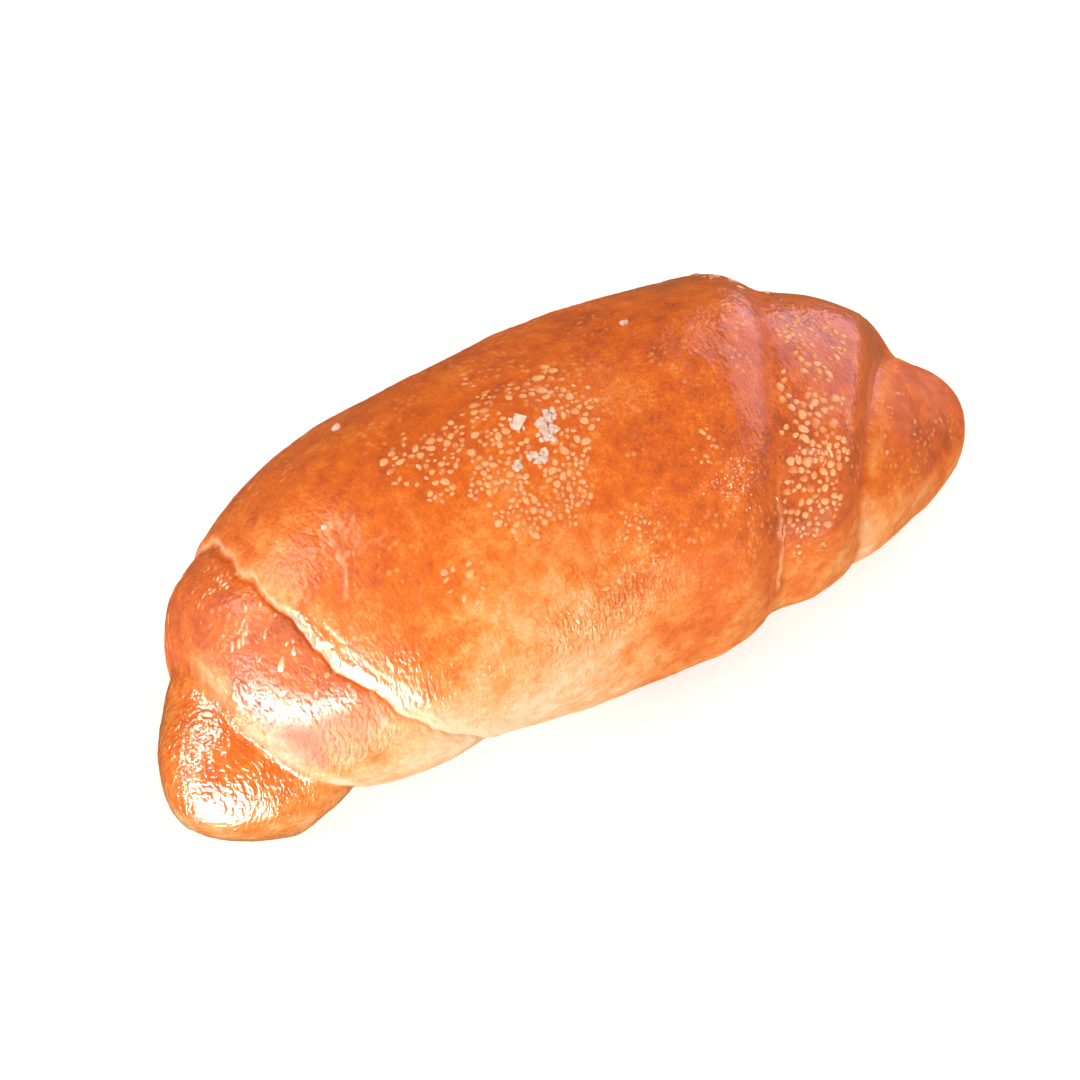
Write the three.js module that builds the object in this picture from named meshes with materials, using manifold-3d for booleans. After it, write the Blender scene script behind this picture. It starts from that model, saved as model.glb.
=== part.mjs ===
// A baked bread roll. One tongue of dough is wound about three times into a short bent spindle,
// then glazed, sprinkled with coarse salt and baked. It lies on its own flat base.
// Sizes in millimetres, angles in degrees. +Z is up, +X runs towards the pointed tip, -Y is the front.
import * as THREE from "three";
import { mergeVertices } from "three/addons/utils/BufferGeometryUtils.js";
import Module from "manifold-3d";

// The spindle
const LENGTH = 135;
const WIDEST_AT = 64.9;
const CORE_RADIUS = 16.7;
const LOBE_FULLNESS = { power: 3.91, root: 0.529 };
const TIP_FULLNESS = { power: 4.54, root: 0.603 };
const WIDTH_FACTOR = 1.04;
const HEIGHT_FACTOR = 1.005;
const SINK = 0.91;
const FLOOR_SOFTNESS = 4;
const TRAY_FLAT = 0.8;
const LEVEL_FROM_LOBE = 10;
const LEVEL_FROM_TIP = 12;
const BEND = { even: 0.241, cubic: 0.089, square: -0.345 };

// The wound dough sheet: how far its two edges lie from the middle, by the angle unwound from its tongue
const TONGUE_AT = -160;
const LOBE_SIDE_ANGLES = [
  0, 60, 108, 122, 137, 150, 170, 190, 211, 233, 250, 425, 498, 516, 540, 570, 587, 608, 660, 800, 1100,
];
const LOBE_SIDE_REACH = [
  0, 14.6, 31.5, 37.3, 41.3, 43.6, 45.8, 45.4, 44.4, 42.2, 41.6, 44.2, 54.5, 55.9, 56.2, 54.2, 53.2, 51.5, 50.4,
  63.4, WIDEST_AT + 3,
];
const TIP_SIDE_ANGLES = [0, 60, 113, 137, 155, 174, 200, 233, 250, 425, 483, 499, 518, 542, 567, 605, 660, 800, 1100];
const TIP_SIDE_REACH = [
  0, 27, 24.6, 24.9, 27.1, 30.1, 35, 40.5, 43, 41.8, 41.5, 43, 46, 50.7, 56.2, 62.5, 62.2, 59.9,
  LENGTH - WIDEST_AT + 3,
];
const WRAP_ANGLES = [0, 190, 270, 450, 515, 580, 660, 800, 900, 1100];
const LOBE_SIDE_RISE = [2.2, 4.5, 1.3, 5.6, 6.9, 6.0, 3.8, 0.8, 1.0, 0.9];
const TIP_SIDE_RISE = [3.7, 2.55, 2.9, 3.5, 5.8, 5.6, 4.2, 3.1, 1.0, 1.0];
const LOBE_SIDE_SHOULDER = [25.7, 22, 18, 16.7, 16.2, 6, 4.5, 9, 9, 9];
const TIP_SIDE_SHOULDER = [12.7, 6.6, 9.5, 7.8, 6.7, 3.5, 3.5, 18.3, 5.2, 10.7];
const SHOULDER_ROUNDNESS = 1.45;
const SPIRAL_DROP = 2.7;

// The mesh
const COLUMNS = 44;
const ROWS_PER_WRAP = 11;
const EDGE_CROWDING = 1.7;

// Salt crystals: distance along the spindle, angle round it from the top towards the front, size
const SALT = [
  { along: 59.2, round: 8.7, size: 2.6 },
  { along: 57.7, round: 7.2, size: 1.6 },
  { along: 62.4, round: 14.2, size: 2.0 },
  { along: 61.7, round: 17.6, size: 1.5 },
  { along: 63.4, round: 11.4, size: 1.3 },
  { along: 59.4, round: 19.7, size: 1.8 },
  { along: 56.2, round: 19.2, size: 1.6 },
  { along: 81.3, round: -11.4, size: 1.5 },
  { along: 41.8, round: -27.9, size: 1.4 },
];

// Blisters raised by the steam, each field a patch of the crust
const BLISTER_FIELDS = [
  { along: 56, round: 8, halfLength: 9.5, halfAngle: 20, count: 26 },
  { along: 62, round: 38, halfLength: 6.5, halfAngle: 22, count: 14 },
  { along: 99, round: 42, halfLength: 4.5, halfAngle: 38, count: 16 },
  { along: 15, round: 12, halfLength: 4, halfAngle: 22, count: 5 },
];
const BLISTER_RADIUS = { least: 0.7, most: 1.15 };
const BLISTER_HEIGHT = 0.42;

const radians = (degrees) => (degrees * Math.PI) / 180;
const clamp = (value, low, high) => Math.min(high, Math.max(low, value));
const mix = (a, b, t) => a + (b - a) * t;

function smooth(t) {
  const u = clamp(t, 0, 1);
  return u * u * (3 - 2 * u);
}

// The same run of random numbers every time.
function makeRandom(seed) {
  let state = seed >>> 0;
  return () => {
    state = (Math.imul(state, 1664525) + 1013904223) >>> 0;
    return state / 4294967296;
  };
}

// A smooth curve through the points that never overshoots between two of them.
function curveThrough(xs, ys) {
  const gaps = xs.slice(1).map((x, i) => x - xs[i]);
  const slopes = gaps.map((gap, i) => (ys[i + 1] - ys[i]) / gap);
  const tangents = ys.map((_, i) => {
    if (i === 0) return slopes[0];
    if (i === ys.length - 1) return slopes[i - 1];
    if (slopes[i - 1] * slopes[i] <= 0) return 0;
    const before = 2 * gaps[i] + gaps[i - 1];
    const after = gaps[i] + 2 * gaps[i - 1];
    return (before + after) / (before / slopes[i - 1] + after / slopes[i]);
  });
  return (x) => {
    const at = clamp(x, xs[0], xs[xs.length - 1]);
    let i = 0;
    while (i < gaps.length - 1 && at > xs[i + 1]) i += 1;
    const t = (at - xs[i]) / gaps[i];
    const t2 = t * t;
    const t3 = t2 * t;
    return (
      (2 * t3 - 3 * t2 + 1) * ys[i] +
      (t3 - 2 * t2 + t) * gaps[i] * tangents[i] +
      (3 * t2 - 2 * t3) * ys[i + 1] +
      (t3 - t2) * gaps[i] * tangents[i + 1]
    );
  };
}

// One side of the sheet: its edge, and how far and how steeply it stands above the wrap below.
const lobeSide = {
  direction: -1,
  reach: curveThrough(LOBE_SIDE_ANGLES, LOBE_SIDE_REACH),
  rise: curveThrough(WRAP_ANGLES, LOBE_SIDE_RISE),
  shoulder: curveThrough(WRAP_ANGLES, LOBE_SIDE_SHOULDER),
};
const tipSide = {
  direction: 1,
  reach: curveThrough(TIP_SIDE_ANGLES, TIP_SIDE_REACH),
  rise: curveThrough(WRAP_ANGLES, TIP_SIDE_RISE),
  shoulder: curveThrough(WRAP_ANGLES, TIP_SIDE_SHOULDER),
};

function coreRadius(along) {
  const onLobe = along < WIDEST_AT;
  const span = onLobe ? WIDEST_AT : LENGTH - WIDEST_AT;
  const { power, root } = onLobe ? LOBE_FULLNESS : TIP_FULLNESS;
  const t = clamp(Math.abs(along - WIDEST_AT) / span, 0, 1);
  return CORE_RADIUS * Math.max(1 - t ** power, 0) ** root;
}

// The two outer wraps end in a rounded step, and the innermost one melts into the core.
function shoulderHeight(inside, length, wrap) {
  if (inside <= 0) return 0;
  const u = clamp(1 - inside / length, 0, 1);
  if (wrap > 1) return smooth(1 - u);
  return Math.max(1 - u ** SHOULDER_ROUNDNESS, 0) ** (1 / SHOULDER_ROUNDNESS);
}

// How far the surface lies from the centre line.
function radiusAt(along, round) {
  const unwound = (((TONGUE_AT - round) % 360) + 360) % 360;
  const core = coreRadius(along);
  const fade = clamp(core / (0.5 * CORE_RADIUS), 0, 1);
  const turn = unwound / 360;
  let radius = core + SPIRAL_DROP * (0.5 - turn + smooth((turn - 0.8) / 0.2)) * fade;
  const tipShare = smooth((along - WIDEST_AT) / 30 + 0.5);
  for (let wrap = 0; wrap < 3; wrap += 1) {
    const angle = unwound + 360 * wrap;
    const pastLobeEdge = along - (WIDEST_AT - lobeSide.reach(angle));
    const pastTipEdge = WIDEST_AT + tipSide.reach(angle) - along;
    const lobeRise = lobeSide.rise(angle) * shoulderHeight(pastLobeEdge, lobeSide.shoulder(angle), wrap);
    const tipRise = tipSide.rise(angle) * shoulderHeight(pastTipEdge, tipSide.shoulder(angle), wrap);
    radius += mix(lobeRise, tipRise, tipShare) * fade;
  }
  return Math.max(radius, 0);
}

// The centre line seen from above: where it runs and which way it points.
const SPINE_STEPS = 400;
const spine = (() => {
  const points = [{ x: 0, y: 0, heading: 0 }];
  const headingAt = (i) => {
    const t = (2 * i) / SPINE_STEPS - 1;
    return BEND.even * t + BEND.cubic * t ** 3 + BEND.square * (t * t - 1 / 3);
  };
  points[0].heading = headingAt(0);
  const step = LENGTH / SPINE_STEPS;
  for (let i = 1; i <= SPINE_STEPS; i += 1) {
    const before = points[i - 1];
    const heading = headingAt(i);
    const x = before.x + (step * (Math.cos(before.heading) + Math.cos(heading))) / 2;
    const y = before.y - (step * (Math.sin(before.heading) + Math.sin(heading))) / 2;
    points.push({ x, y, heading });
  }
  return points;
})();

function spineAt(along) {
  const at = clamp((along / LENGTH) * SPINE_STEPS, 0, SPINE_STEPS);
  const i = Math.min(Math.floor(at), SPINE_STEPS - 1);
  const t = at - i;
  return {
    x: mix(spine[i].x, spine[i + 1].x, t),
    y: mix(spine[i].y, spine[i + 1].y, t),
    heading: mix(spine[i].heading, spine[i + 1].heading, t),
  };
}

// The height of the centre line, from the mean thickness round it, evened out along the roll.
const LIFT_STATIONS = 90;
const liftTable = (() => {
  const mean = [];
  for (let i = 0; i < LIFT_STATIONS; i += 1) {
    const along = (LENGTH * i) / (LIFT_STATIONS - 1);
    let sum = 0;
    for (let j = 0; j < 16; j += 1) sum += radiusAt(along, -180 + 22.5 * j);
    mean.push(sum / 16);
  }
  const reach = 5;
  return mean.map((_, i) => {
    let total = 0;
    let weights = 0;
    for (let k = -reach; k <= reach; k += 1) {
      const weight = 0.5 + 0.5 * Math.cos((Math.PI * k) / (reach + 1));
      total += weight * mean[clamp(i + k, 0, LIFT_STATIONS - 1)];
      weights += weight;
    }
    return total / weights;
  });
})();

function liftAt(along) {
  const level = clamp(along, LEVEL_FROM_LOBE, LENGTH - LEVEL_FROM_TIP);
  const at = (level / LENGTH) * (LIFT_STATIONS - 1);
  const i = Math.min(Math.floor(at), LIFT_STATIONS - 2);
  return mix(liftTable[i], liftTable[i + 1], at - i) * HEIGHT_FACTOR * SINK;
}

// The dough sags onto the floor: what would lie below it is pressed flat, with a soft edge round it.
function settle(height) {
  if (height >= FLOOR_SOFTNESS) return height - TRAY_FLAT;
  const eased = Math.max(height + FLOOR_SOFTNESS, 0) ** 2 / (4 * FLOOR_SOFTNESS);
  return Math.max(eased - TRAY_FLAT, 0);
}

function pointAt(along, round, extra = 0) {
  const radius = radiusAt(along, round) + extra;
  const { x, y, heading } = spineAt(along);
  const aside = radius * Math.sin(radians(round)) * WIDTH_FACTOR;
  const height = liftAt(along) + radius * Math.cos(radians(round)) * HEIGHT_FACTOR;
  return new THREE.Vector3(
    x - aside * Math.sin(heading),
    y - aside * Math.cos(heading),
    settle(height),
  );
}

// The way the crust faces at a place on it.
function outwardAt(along, round) {
  const alongRoll = pointAt(along + 1, round).sub(pointAt(along - 1, round));
  const roundRoll = pointAt(along, round + 3).sub(pointAt(along, round - 3));
  const outward = new THREE.Vector3().crossVectors(roundRoll, alongRoll).normalize();
  return outward.dot(pointAt(along, round, 5).sub(pointAt(along, round))) < 0 ? outward.negate() : outward;
}

// The ribbon between one edge of the sheet and the same edge a turn further in.
function ribbonTriangles(side) {
  const triangles = [];
  const placeOn = (turn, column, row) => {
    const unwound = 360 * (turn + column / COLUMNS);
    const share = 1 - (1 - row / ROWS_PER_WRAP) ** EDGE_CROWDING;
    const outer = unwound <= 0 ? 0 : side.reach(unwound);
    const inner = unwound + 360 <= 0 ? 0 : side.reach(unwound + 360);
    const along = clamp(WIDEST_AT + side.direction * mix(outer, inner, share), 0, LENGTH);
    return pointAt(along, TONGUE_AT - 360 * (column / COLUMNS));
  };
  for (let turn = -1; turn <= 2; turn += 1) {
    for (let column = 0; column < COLUMNS; column += 1) {
      for (let row = 0; row < ROWS_PER_WRAP; row += 1) {
        const a = placeOn(turn, column, row);
        const b = placeOn(turn, column + 1, row);
        const c = placeOn(turn, column + 1, row + 1);
        const d = placeOn(turn, column, row + 1);
        const faces = [a, b, c, a, c, d];
        triangles.push(...(side.direction < 0 ? faces : faces.reverse()));
      }
    }
  }
  return triangles;
}

const wasm = await Module();
wasm.setup();

// A closed solid from a geometry whose touching corners are joined and slivers dropped.
function solidFrom(geometry) {
  const bare = new THREE.BufferGeometry();
  const source = geometry.index ? geometry.toNonIndexed() : geometry;
  bare.setAttribute("position", source.getAttribute("position"));
  const joined = mergeVertices(bare, 1e-3);
  const corners = joined.index.array;
  const kept = [];
  for (let i = 0; i < corners.length; i += 3) {
    const [a, b, c] = [corners[i], corners[i + 1], corners[i + 2]];
    if (a !== b && b !== c && c !== a) kept.push(a, b, c);
  }
  return new wasm.Manifold(
    new wasm.Mesh({
      numProp: 3,
      vertProperties: joined.getAttribute("position").array,
      triVerts: new Uint32Array(kept),
    }),
  );
}

function geometryFrom(solid) {
  const mesh = solid.getMesh();
  const geometry = new THREE.BufferGeometry();
  geometry.setAttribute("position", new THREE.BufferAttribute(new Float32Array(mesh.vertProperties), 3));
  geometry.setIndex(new THREE.BufferAttribute(new Uint32Array(mesh.triVerts), 1));
  geometry.computeVertexNormals();
  return geometry;
}

function loafSolid() {
  const points = [...ribbonTriangles(lobeSide), ...ribbonTriangles(tipSide)];
  return solidFrom(new THREE.BufferGeometry().setFromPoints(points));
}

// A crystal: a cube with its corners knocked about, pressed a third of the way into the crust.
function crystalSolid({ along, round, size }, random) {
  const box = mergeVertices(new THREE.BoxGeometry(size, size * 0.85, size * 0.7).deleteAttribute("normal").deleteAttribute("uv"));
  const corners = box.getAttribute("position");
  for (let i = 0; i < corners.count; i += 1) {
    const nudge = () => (random() - 0.5) * 0.3 * size;
    corners.setXYZ(i, corners.getX(i) + nudge(), corners.getY(i) + nudge(), corners.getZ(i) + nudge());
  }
  const outward = outwardAt(along, round);
  box.rotateZ(random() * Math.PI);
  box.applyQuaternion(new THREE.Quaternion().setFromUnitVectors(new THREE.Vector3(0, 0, 1), outward));
  const centre = pointAt(along, round).addScaledVector(outward, size * 0.12);
  box.translate(centre.x, centre.y, centre.z);
  return solidFrom(box);
}

// A blister: a low round dome, a little longer one way, its lower half inside the crust.
function blisterSolid(along, round, radius, random) {
  const dome = new THREE.SphereGeometry(radius, 7, 4);
  dome.rotateX(Math.PI / 2);
  dome.scale(1 + 0.4 * random(), 1, BLISTER_HEIGHT);
  dome.rotateZ(random() * Math.PI);
  const outward = outwardAt(along, round);
  dome.applyQuaternion(new THREE.Quaternion().setFromUnitVectors(new THREE.Vector3(0, 0, 1), outward));
  const centre = pointAt(along, round);
  dome.translate(centre.x, centre.y, centre.z);
  return solidFrom(dome);
}

function blisterSolids() {
  const random = makeRandom(41);
  const placed = [];
  const solids = [];
  for (const field of BLISTER_FIELDS) {
    let made = 0;
    for (let attempt = 0; attempt < 400 && made < field.count; attempt += 1) {
      const spread = Math.sqrt(random());
      const way = random() * 2 * Math.PI;
      const along = field.along + field.halfLength * spread * Math.cos(way);
      const round = field.round + field.halfAngle * spread * Math.sin(way);
      const radius = mix(BLISTER_RADIUS.least, BLISTER_RADIUS.most, random() ** 2);
      const centre = pointAt(along, round);
      const clear = placed.every((other) => other.centre.distanceTo(centre) > other.radius + radius + 0.5);
      if (!clear) continue;
      placed.push({ centre, radius });
      solids.push(blisterSolid(along, round, radius, random));
      made += 1;
    }
  }
  return solids;
}

// Everything in one solid: the dough, its blisters and the salt baked onto it.
function rollSolid() {
  const random = makeRandom(7);
  const loaf = loafSolid();
  const salt = SALT.map((crystal) => crystalSolid(crystal, random));
  return wasm.Manifold.union([loaf, ...blisterSolids(), ...salt]);
}

const solid = rollSolid();
const geometry = geometryFrom(solid);

// The base stands on z = 0, under the middle of the roll's outline.
geometry.computeBoundingBox();
const middle = geometry.boundingBox.getCenter(new THREE.Vector3());
geometry.translate(-middle.x, -middle.y, -geometry.boundingBox.min.z);

const crust = new THREE.MeshStandardMaterial({ color: 0xc9702e, roughness: 0.38, metalness: 0 });
const roll = new THREE.Mesh(geometry, crust);
roll.name = "roll";

const group = new THREE.Group();
group.name = "bread_roll";
group.add(roll);

export default group;
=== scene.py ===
"""A baked and salted bread roll on a plain pale floor.

One tongue of dough is wound about three times into a short bent spindle. The crust, its blisters and its
salt are built here at true size. Lengths in the classes are millimetres and angles are degrees; meshes are
handed over in metres. "along" runs down the spindle from the rounded lobe to the pointed tip, and "around"
goes from the top (0) over the front (90) to the underside (180); the back is negative.
"""

import logging
import math
from dataclasses import dataclass, field
from enum import Enum
from typing import Any, Dict, List, Optional, Sequence, Tuple, Union

import bpy
import numpy as np
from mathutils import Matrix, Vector

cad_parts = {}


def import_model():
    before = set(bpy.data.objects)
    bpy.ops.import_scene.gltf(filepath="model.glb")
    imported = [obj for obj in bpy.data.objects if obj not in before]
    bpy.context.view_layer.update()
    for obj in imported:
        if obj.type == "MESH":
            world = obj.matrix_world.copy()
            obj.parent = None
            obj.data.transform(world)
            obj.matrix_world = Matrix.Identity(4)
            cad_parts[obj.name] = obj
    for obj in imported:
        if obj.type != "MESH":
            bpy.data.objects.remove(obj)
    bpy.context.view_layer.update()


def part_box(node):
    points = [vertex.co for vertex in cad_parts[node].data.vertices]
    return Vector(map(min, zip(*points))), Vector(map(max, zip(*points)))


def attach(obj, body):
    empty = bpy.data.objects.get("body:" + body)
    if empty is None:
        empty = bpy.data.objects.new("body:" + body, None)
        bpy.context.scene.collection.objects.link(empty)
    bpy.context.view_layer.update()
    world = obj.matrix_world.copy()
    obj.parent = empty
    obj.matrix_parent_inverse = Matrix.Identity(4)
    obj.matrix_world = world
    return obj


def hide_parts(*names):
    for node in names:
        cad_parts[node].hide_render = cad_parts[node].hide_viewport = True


log = logging.getLogger("bread_roll")

MM = 0.001
FRAME_NODE = "roll"


def smooth(t: np.ndarray) -> np.ndarray:
    """Returns 0 to 1 with soft ends as t goes from 0 to 1."""
    u = np.clip(t, 0.0, 1.0)
    return u * u * (3.0 - 2.0 * u)


def bump(x: np.ndarray, centre: float, width: float) -> np.ndarray:
    """Returns a soft hill of height 1 round centre."""
    return np.exp(-(((x - centre) / width) ** 2))


def between(x: np.ndarray, start: float, end: float) -> np.ndarray:
    """Returns 0 at start and 1 at end, with soft ends; end may be the lower of the two."""
    return smooth((x - start) / (end - start))


def linear(hex_colour: str) -> Tuple[float, float, float, float]:
    """Turns an sRGB hex colour into linear RGBA.

    Args:
        hex_colour: Six hex digits, such as "c9702e".

    Returns:
        The linear red, green and blue, and an alpha of 1.
    """
    parts = [int(hex_colour[i : i + 2], 16) / 255.0 for i in (0, 2, 4)]
    red, green, blue = [c / 12.92 if c <= 0.04045 else ((c + 0.055) / 1.055) ** 2.4 for c in parts]
    return (red, green, blue, 1.0)


class SmoothCurve:
    """A curve through points that never overshoots between two of them."""

    def __init__(self, xs: Sequence[float], ys: Sequence[float]) -> None:
        """Works out the slope at each point.

        Args:
            xs: Rising positions.
            ys: The value at each position.
        """
        self.xs = np.array(xs, dtype=float)
        self.ys = np.array(ys, dtype=float)
        gaps = np.diff(self.xs)
        slopes = np.diff(self.ys) / gaps
        tangents = np.zeros_like(self.ys)
        tangents[0], tangents[-1] = slopes[0], slopes[-1]
        for i in range(1, len(slopes)):
            if slopes[i - 1] * slopes[i] > 0:
                before = 2 * gaps[i] + gaps[i - 1]
                after = gaps[i] + 2 * gaps[i - 1]
                tangents[i] = (before + after) / (before / slopes[i - 1] + after / slopes[i])
        self.tangents = tangents

    def __call__(self, x: np.ndarray) -> np.ndarray:
        """Reads the curve.

        Args:
            x: Positions; beyond the ends the curve is level.

        Returns:
            The value at each position.
        """
        at = np.clip(x, self.xs[0], self.xs[-1])
        i = np.clip(np.searchsorted(self.xs, at, side="right") - 1, 0, len(self.xs) - 2)
        gap = self.xs[i + 1] - self.xs[i]
        t = (at - self.xs[i]) / gap
        t2, t3 = t * t, t * t * t
        return (
            (2 * t3 - 3 * t2 + 1) * self.ys[i]
            + (t3 - 2 * t2 + t) * gap * self.tangents[i]
            + (3 * t2 - 2 * t3) * self.ys[i + 1]
            + (t3 - t2) * gap * self.tangents[i + 1]
        )


class DoughNoise:
    """Seeded smooth noise in space, from about -1 to 1."""

    def __init__(self, seed: int) -> None:
        """Draws the lattice of slopes.

        Args:
            seed: Same seed, same noise.
        """
        rng = np.random.default_rng(seed)
        self.order = np.tile(rng.permutation(256), 3)
        ways = rng.normal(size=(256, 3))
        self.ways = ways / np.linalg.norm(ways, axis=1, keepdims=True)

    def single(self, points: np.ndarray) -> np.ndarray:
        """Works out one layer of noise.

        Args:
            points: Places in lattice cells, shape (..., 3).

        Returns:
            The noise at each place.
        """
        cell = np.floor(points).astype(int)
        offset = points - cell
        cell &= 255
        blend = offset * offset * offset * (offset * (offset * 6 - 15) + 10)
        total = np.zeros(points.shape[:-1])
        for corner in range(8):
            step = np.array([(corner >> 2) & 1, (corner >> 1) & 1, corner & 1])
            at = cell + step
            key = self.order[self.order[self.order[at[..., 0]] + at[..., 1]] + at[..., 2]]
            lean = ((offset - step) * self.ways[key]).sum(-1)
            weight = np.prod(np.where(step == 1, blend, 1 - blend), axis=-1)
            total += weight * lean
        return total * 1.6

    def layered(self, points: np.ndarray, size: float, layers: int = 3, gain: float = 0.5) -> np.ndarray:
        """Adds up several layers of noise.

        Args:
            points: Places in millimetres, shape (..., 3). A number added to all of them picks another
                part of the same noise.
            size: Size of the largest lumps in millimetres.
            layers: How many layers, each half the size of the last.
            gain: Strength of each layer against the last.

        Returns:
            The noise at each place.
        """
        total = np.zeros(points.shape[:-1])
        strength = 1.0
        for layer in range(layers):
            total += strength * self.single(points / size * 2.0**layer + 17.3 * layer)
            strength *= gain
        return total


class Side(Enum):
    """The two edges of the wound sheet: towards the lobe, and towards the tip."""

    LOBE = -1
    TIP = 1


@dataclass
class SheetEdge:
    """One edge of the dough sheet, by the angle unwound from its tongue.

    reaches is how far the edge lies from the widest place. rises and shoulders are how high the step at the
    edge is, and over what length it rounds off, at the angles of wrap_angles.
    """

    side: Side
    edge_angles: Sequence[float]
    reaches: Sequence[float]
    rises: Sequence[float]
    shoulders: Sequence[float]
    wrap_angles: Sequence[float] = (0, 190, 270, 450, 515, 580, 660, 800, 900, 1100)

    def __post_init__(self) -> None:
        """Makes the curves."""
        self.reach = SmoothCurve(self.edge_angles, self.reaches)
        self.rise = SmoothCurve(self.wrap_angles, self.rises)
        self.shoulder = SmoothCurve(self.wrap_angles, self.shoulders)


@dataclass
class RollForm:
    """The roll's main form, the same as the part's solid.

    A core, thick in the middle and rounded at both ends, is raised by a step inside each edge of each wrap
    and bent sideways along its spine. The underside is pressed flat as on a tray.
    """

    length: float = 135.0
    widest_at: float = 64.9
    core_radius: float = 16.7
    lobe_power: float = 3.91
    lobe_root: float = 0.529
    tip_power: float = 4.54
    tip_root: float = 0.603
    width_factor: float = 1.04
    height_factor: float = 1.005
    sink: float = 0.91
    floor_softness: float = 4.0
    tray_flat: float = 0.8
    level_from_lobe: float = 10.0
    level_from_tip: float = 12.0
    bend_even: float = 0.241
    bend_cubic: float = 0.089
    bend_square: float = -0.345
    tongue_at: float = -160.0
    shoulder_roundness: float = 1.45
    spiral_drop: float = 2.7
    lobe_edge: SheetEdge = field(
        default_factory=lambda: SheetEdge(
            Side.LOBE,
            (0, 60, 108, 122, 137, 150, 170, 190, 211, 233, 250, 425, 498, 516, 540, 570, 587, 608)
            + (660, 800, 1100),
            (0, 14.6, 31.5, 37.3, 41.3, 43.6, 45.8, 45.4, 44.4, 42.2, 41.6, 44.2, 54.5, 55.9, 56.2, 54.2)
            + (53.2, 51.5, 50.4, 63.4, 67.9),
            (2.2, 4.5, 1.3, 5.6, 6.9, 6.0, 3.8, 0.8, 1.0, 0.9),
            (25.7, 22, 18, 16.7, 16.2, 6, 4.5, 9, 9, 9),
        )
    )
    tip_edge: SheetEdge = field(
        default_factory=lambda: SheetEdge(
            Side.TIP,
            (0, 60, 113, 137, 155, 174, 200, 233, 250, 425, 483, 499, 518, 542, 567, 605, 660, 800, 1100),
            (0, 27, 24.6, 24.9, 27.1, 30.1, 35, 40.5, 43, 41.8, 41.5, 43, 46, 50.7, 56.2, 62.5, 62.2)
            + (59.9, 73.1),
            (3.7, 2.55, 2.9, 3.5, 5.8, 5.6, 4.2, 3.1, 1.0, 1.0),
            (12.7, 6.6, 9.5, 7.8, 6.7, 3.5, 3.5, 18.3, 5.2, 10.7),
        )
    )

    def __post_init__(self) -> None:
        """Works out the spine and the height of the centre line."""
        share = np.linspace(0.0, 1.0, 401)
        xi = 2 * share - 1
        self.spine_at = share * self.length
        self.heading = self.bend_even * xi + self.bend_cubic * xi**3 + self.bend_square * (xi**2 - 1 / 3)
        half = self.length / 800
        run, drift = np.cos(self.heading), -np.sin(self.heading)
        self.spine_x = np.concatenate([[0.0], np.cumsum((run[1:] + run[:-1]) * half)])
        self.spine_y = np.concatenate([[0.0], np.cumsum((drift[1:] + drift[:-1]) * half)])
        self.spine_x -= self.spine_x[200]
        self.spine_y -= self.spine_y[200]
        stations = np.linspace(0, self.length, 90)
        angles = -180 + 22.5 * np.arange(16)
        mean = self.radius(*np.meshgrid(stations, angles, indexing="ij")).mean(axis=1)
        window = 0.5 + 0.5 * np.cos(np.pi * np.arange(-5, 6) / 6)
        self.lift_at = stations
        self.lift = np.convolve(np.pad(mean, 5, mode="edge"), window / window.sum(), "valid")

    def unwound(self, around: np.ndarray) -> np.ndarray:
        """Returns the angle unwound from the tongue on the outermost wrap."""
        return (self.tongue_at - around) % 360.0

    def past_edge(self, edge: SheetEdge, wrap: int, along: np.ndarray, around: np.ndarray) -> np.ndarray:
        """Returns how far places lie inside an edge of a wrap, negative beyond it, in millimetres."""
        reach = edge.reach(self.unwound(around) + 360.0 * wrap)
        return reach - (along - self.widest_at) * edge.side.value

    def core(self, along: np.ndarray) -> np.ndarray:
        """Works out the radius of the dough inside the wraps.

        Args:
            along: Distance down the spindle.

        Returns:
            The radius in millimetres.
        """
        on_lobe = along < self.widest_at
        span = np.where(on_lobe, self.widest_at, self.length - self.widest_at)
        power = np.where(on_lobe, self.lobe_power, self.tip_power)
        root = np.where(on_lobe, self.lobe_root, self.tip_root)
        t = np.clip(np.abs(along - self.widest_at) / span, 0, 1)
        return self.core_radius * np.maximum(1 - t**power, 0) ** root

    def radius(self, along: np.ndarray, around: np.ndarray) -> np.ndarray:
        """Works out the distance from the centre line to the smooth surface.

        Args:
            along: Distance down the spindle.
            around: Angle from the top towards the front.

        Returns:
            The distance in millimetres.
        """
        core = self.core(along)
        fade = np.clip(core / (0.5 * self.core_radius), 0, 1)
        turn = self.unwound(around) / 360.0
        radius = core + self.spiral_drop * (0.5 - turn + smooth((turn - 0.8) / 0.2)) * fade
        tip_share = smooth((along - self.widest_at) / 30 + 0.5)
        for wrap in range(3):
            angle = self.unwound(around) + 360.0 * wrap
            for edge, share in ((self.lobe_edge, 1 - tip_share), (self.tip_edge, tip_share)):
                inside = self.past_edge(edge, wrap, along, around)
                u = np.clip(1 - np.maximum(inside, 0) / edge.shoulder(angle), 0, 1)
                stepped = np.maximum(1 - u**self.shoulder_roundness, 0) ** (1 / self.shoulder_roundness)
                height = stepped if wrap < 2 else smooth(1 - u)
                radius = radius + edge.rise(angle) * height * share * fade
        return np.maximum(radius, 0)

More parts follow.
